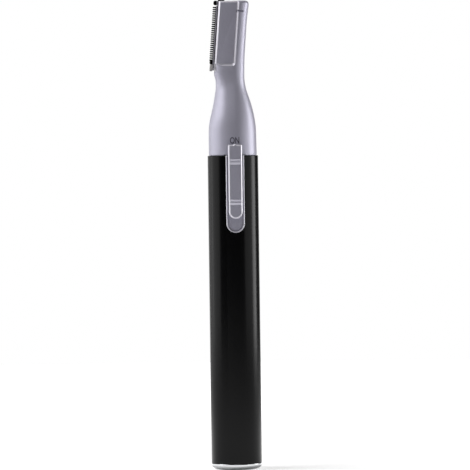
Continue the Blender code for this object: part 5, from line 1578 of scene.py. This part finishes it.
class TRIMMER_OT_stage(bpy.types.Operator):
    """Set up the white floor, the studio light and the camera"""

    bl_idname = "trimmer.stage"
    bl_label = "Studio"

    def execute(self, context):
        scene = context.scene
        self.floor(scene)
        self.world(scene)
        for name, (*place_and_size, power_name) in LAMPS.items():
            lamp(name, *place_and_size, getattr(scene.trimmer_studio, power_name))
        self.camera(scene)
        scene.view_settings.view_transform = "Standard"
        return {"FINISHED"}

    def floor(self, scene):
        points = [(x, y, 0) for x, y in arc((0, 0), FLOOR_RADIUS, 0, 360, FLOOR_STEPS)[:-1]]
        floor = new_piece("studio_floor", points, [list(range(len(points)))])
        material, add, place = surface("White studio floor")
        far = add("ShaderNodeVectorMath", {0: place}, operation="LENGTH").outputs["Value"]
        # Near the object the floor is mostly lit, so its shadow shows; further off it is plain white.
        # What gloss sees of it is a white sheet that ends before the camera, as it would on a table,
        # and right under the object that sheet fades to dark: a painted shadow for gloss to see.
        glow, sheet, painted_shadow = (
            add(
                "ShaderNodeMapRange",
                {"Value": far, "From Min": near, "From Max": end, "To Min": start_level, "To Max": end_level},
            ).outputs["Result"]
            for near, end, start_level, end_level in (
                (GLOW_NEAR, GLOW_FAR, GLOW_LEVEL, 1.0),
                (SHEET_NEAR, SHEET_FAR, SHEET_LEVEL, 0.0),
                (PAINTED_SHADOW_NEAR, PAINTED_SHADOW_FAR, 0.0, 1.0),
            )
        )
        shaded = add("ShaderNodeMath", {0: sheet, 1: painted_shadow}, operation="MULTIPLY")
        path = add("ShaderNodeLightPath").outputs
        glossy, clear = path["Is Glossy Ray"], path["Is Transmission Ray"]
        mirrored = add("ShaderNodeMath", {0: glossy, 1: clear}, operation="MAXIMUM")
        sheen = add("ShaderNodeMath", {0: mirrored.outputs[0], 1: shaded.outputs[0]}, operation="MULTIPLY")
        strength = add(
            "ShaderNodeMath",
            {0: path["Is Camera Ray"], 1: glow, 2: sheen.outputs[0]},
            operation="MULTIPLY_ADD",
        )
        matt = add("ShaderNodeBsdfDiffuse", {"Color": (*scene.trimmer_colours.floor, 1.0)})
        white = add("ShaderNodeEmission", {"Strength": strength.outputs[0]})
        total = add("ShaderNodeAddShader", {0: matt.outputs["BSDF"], 1: white.outputs["Emission"]})
        add("ShaderNodeOutputMaterial", {"Surface": total.outputs["Shader"]})
        floor.data.materials.append(material)

    def world(self, scene):
        scene.world = bpy.data.worlds.new("Studio")
        scene.world.use_nodes = True
        scene.world.node_tree.nodes.clear()
        add = partial(add_node, scene.world.node_tree)
        path = add("ShaderNodeLightPath").outputs
        # The white cloth behind the object, as metal sees it, and the dim room elsewhere.
        heading = add("ShaderNodeTexCoord").outputs["Generated"]
        ahead = add("ShaderNodeSeparateXYZ", {"Vector": heading}).outputs["Y"]
        cloth = add(
            "ShaderNodeMapRange",
            {"Value": ahead, "From Min": CLOTH_START, "From Max": CLOTH_END, "To Min": 0.0, "To Max": 1.0},
        ).outputs["Result"]
        mirror = add("ShaderNodeMath", {0: path["Is Glossy Ray"], 1: cloth}, operation="MULTIPLY")
        camera, clear = path["Is Camera Ray"], path["Is Transmission Ray"]
        seen = add("ShaderNodeMath", {0: camera, 1: clear}, operation="ADD")
        share = add(
            "ShaderNodeMath",
            {0: seen.outputs[0], 1: mirror.outputs[0]},
            operation="ADD",
            use_clamp=True,
        )
        room = add("ShaderNodeBackground", {"Color": ROOM_COLOUR, "Strength": 1.0})
        white = add("ShaderNodeBackground", {"Color": WHITE, "Strength": 1.0})
        total = add(
            "ShaderNodeMixShader",
            {0: share.outputs[0], 1: room.outputs["Background"], 2: white.outputs["Background"]},
        )
        add("ShaderNodeOutputWorld", {"Surface": total.outputs["Shader"]})

    def camera(self, scene):
        data = bpy.data.cameras.new("photo_camera")
        data.lens = scene.trimmer_studio.lens
        data.clip_start = CAMERA_NEAR
        data.clip_end = CAMERA_FAR
        camera = bpy.data.objects.new("photo_camera", data)
        scene.collection.objects.link(camera)
        ahead = (CAMERA_AIM - CAMERA_PLACE).normalized()
        level = ahead.cross(Vector((0, 0, 1))).normalized()
        right = Matrix.Rotation(CAMERA_ROLL, 3, ahead) @ level
        turn = Matrix((right, right.cross(ahead), -ahead)).transposed().to_4x4()
        camera.matrix_world = Matrix.Translation(CAMERA_PLACE) @ turn
        scene.camera = camera


class TRIMMER_PT_panel(bpy.types.Panel):
    """Lists the trimmer's builders"""

    bl_label = "Eyebrow trimmer"
    bl_idname = "TRIMMER_PT_panel"
    bl_space_type = "VIEW_3D"
    bl_region_type = "UI"
    bl_category = "Trimmer"

    def draw(self, context):
        column = self.layout.column(align=True)
        for operator in OPERATORS:
            column.operator(operator.bl_idname)


GROUPS = {
    "trimmer_barrel": BarrelSizes,
    "trimmer_switch": SwitchSizes,
    "trimmer_head": HeadSizes,
    "trimmer_blade": BladeSizes,
    "trimmer_colours": TrimmerColours,
    "trimmer_studio": StudioSettings,
}
OPERATORS = (
    TRIMMER_OT_barrel,
    TRIMMER_OT_end_cap,
    TRIMMER_OT_switch_tray,
    TRIMMER_OT_slide_button,
    TRIMMER_OT_head_shell,
    TRIMMER_OT_blade_holder,
    TRIMMER_OT_blades,
    TRIMMER_OT_lettering,
    TRIMMER_OT_inner_pieces,
    TRIMMER_OT_stage,
)


def register():
    for name, group in GROUPS.items():
        bpy.utils.register_class(group)
        setattr(bpy.types.Scene, name, PointerProperty(type=group))
    for operator in OPERATORS:
        bpy.utils.register_class(operator)
    bpy.utils.register_class(TRIMMER_PT_panel)


def unregister():
    bpy.utils.unregister_class(TRIMMER_PT_panel)
    for operator in reversed(OPERATORS):
        bpy.utils.unregister_class(operator)
    for name, group in reversed(GROUPS.items()):
        delattr(bpy.types.Scene, name)
        bpy.utils.unregister_class(group)


def main():
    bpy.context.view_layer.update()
    register()
    bpy.ops.trimmer.barrel()
    bpy.ops.trimmer.end_cap()
    bpy.ops.trimmer.switch_tray()
    bpy.ops.trimmer.slide_button()
    bpy.ops.trimmer.head_shell()
    bpy.ops.trimmer.blade_holder()
    bpy.ops.trimmer.blades()
    bpy.ops.trimmer.lettering()
    bpy.ops.trimmer.inner_pieces()
    bpy.ops.trimmer.stage()


if __name__ == "__main__":
    main()
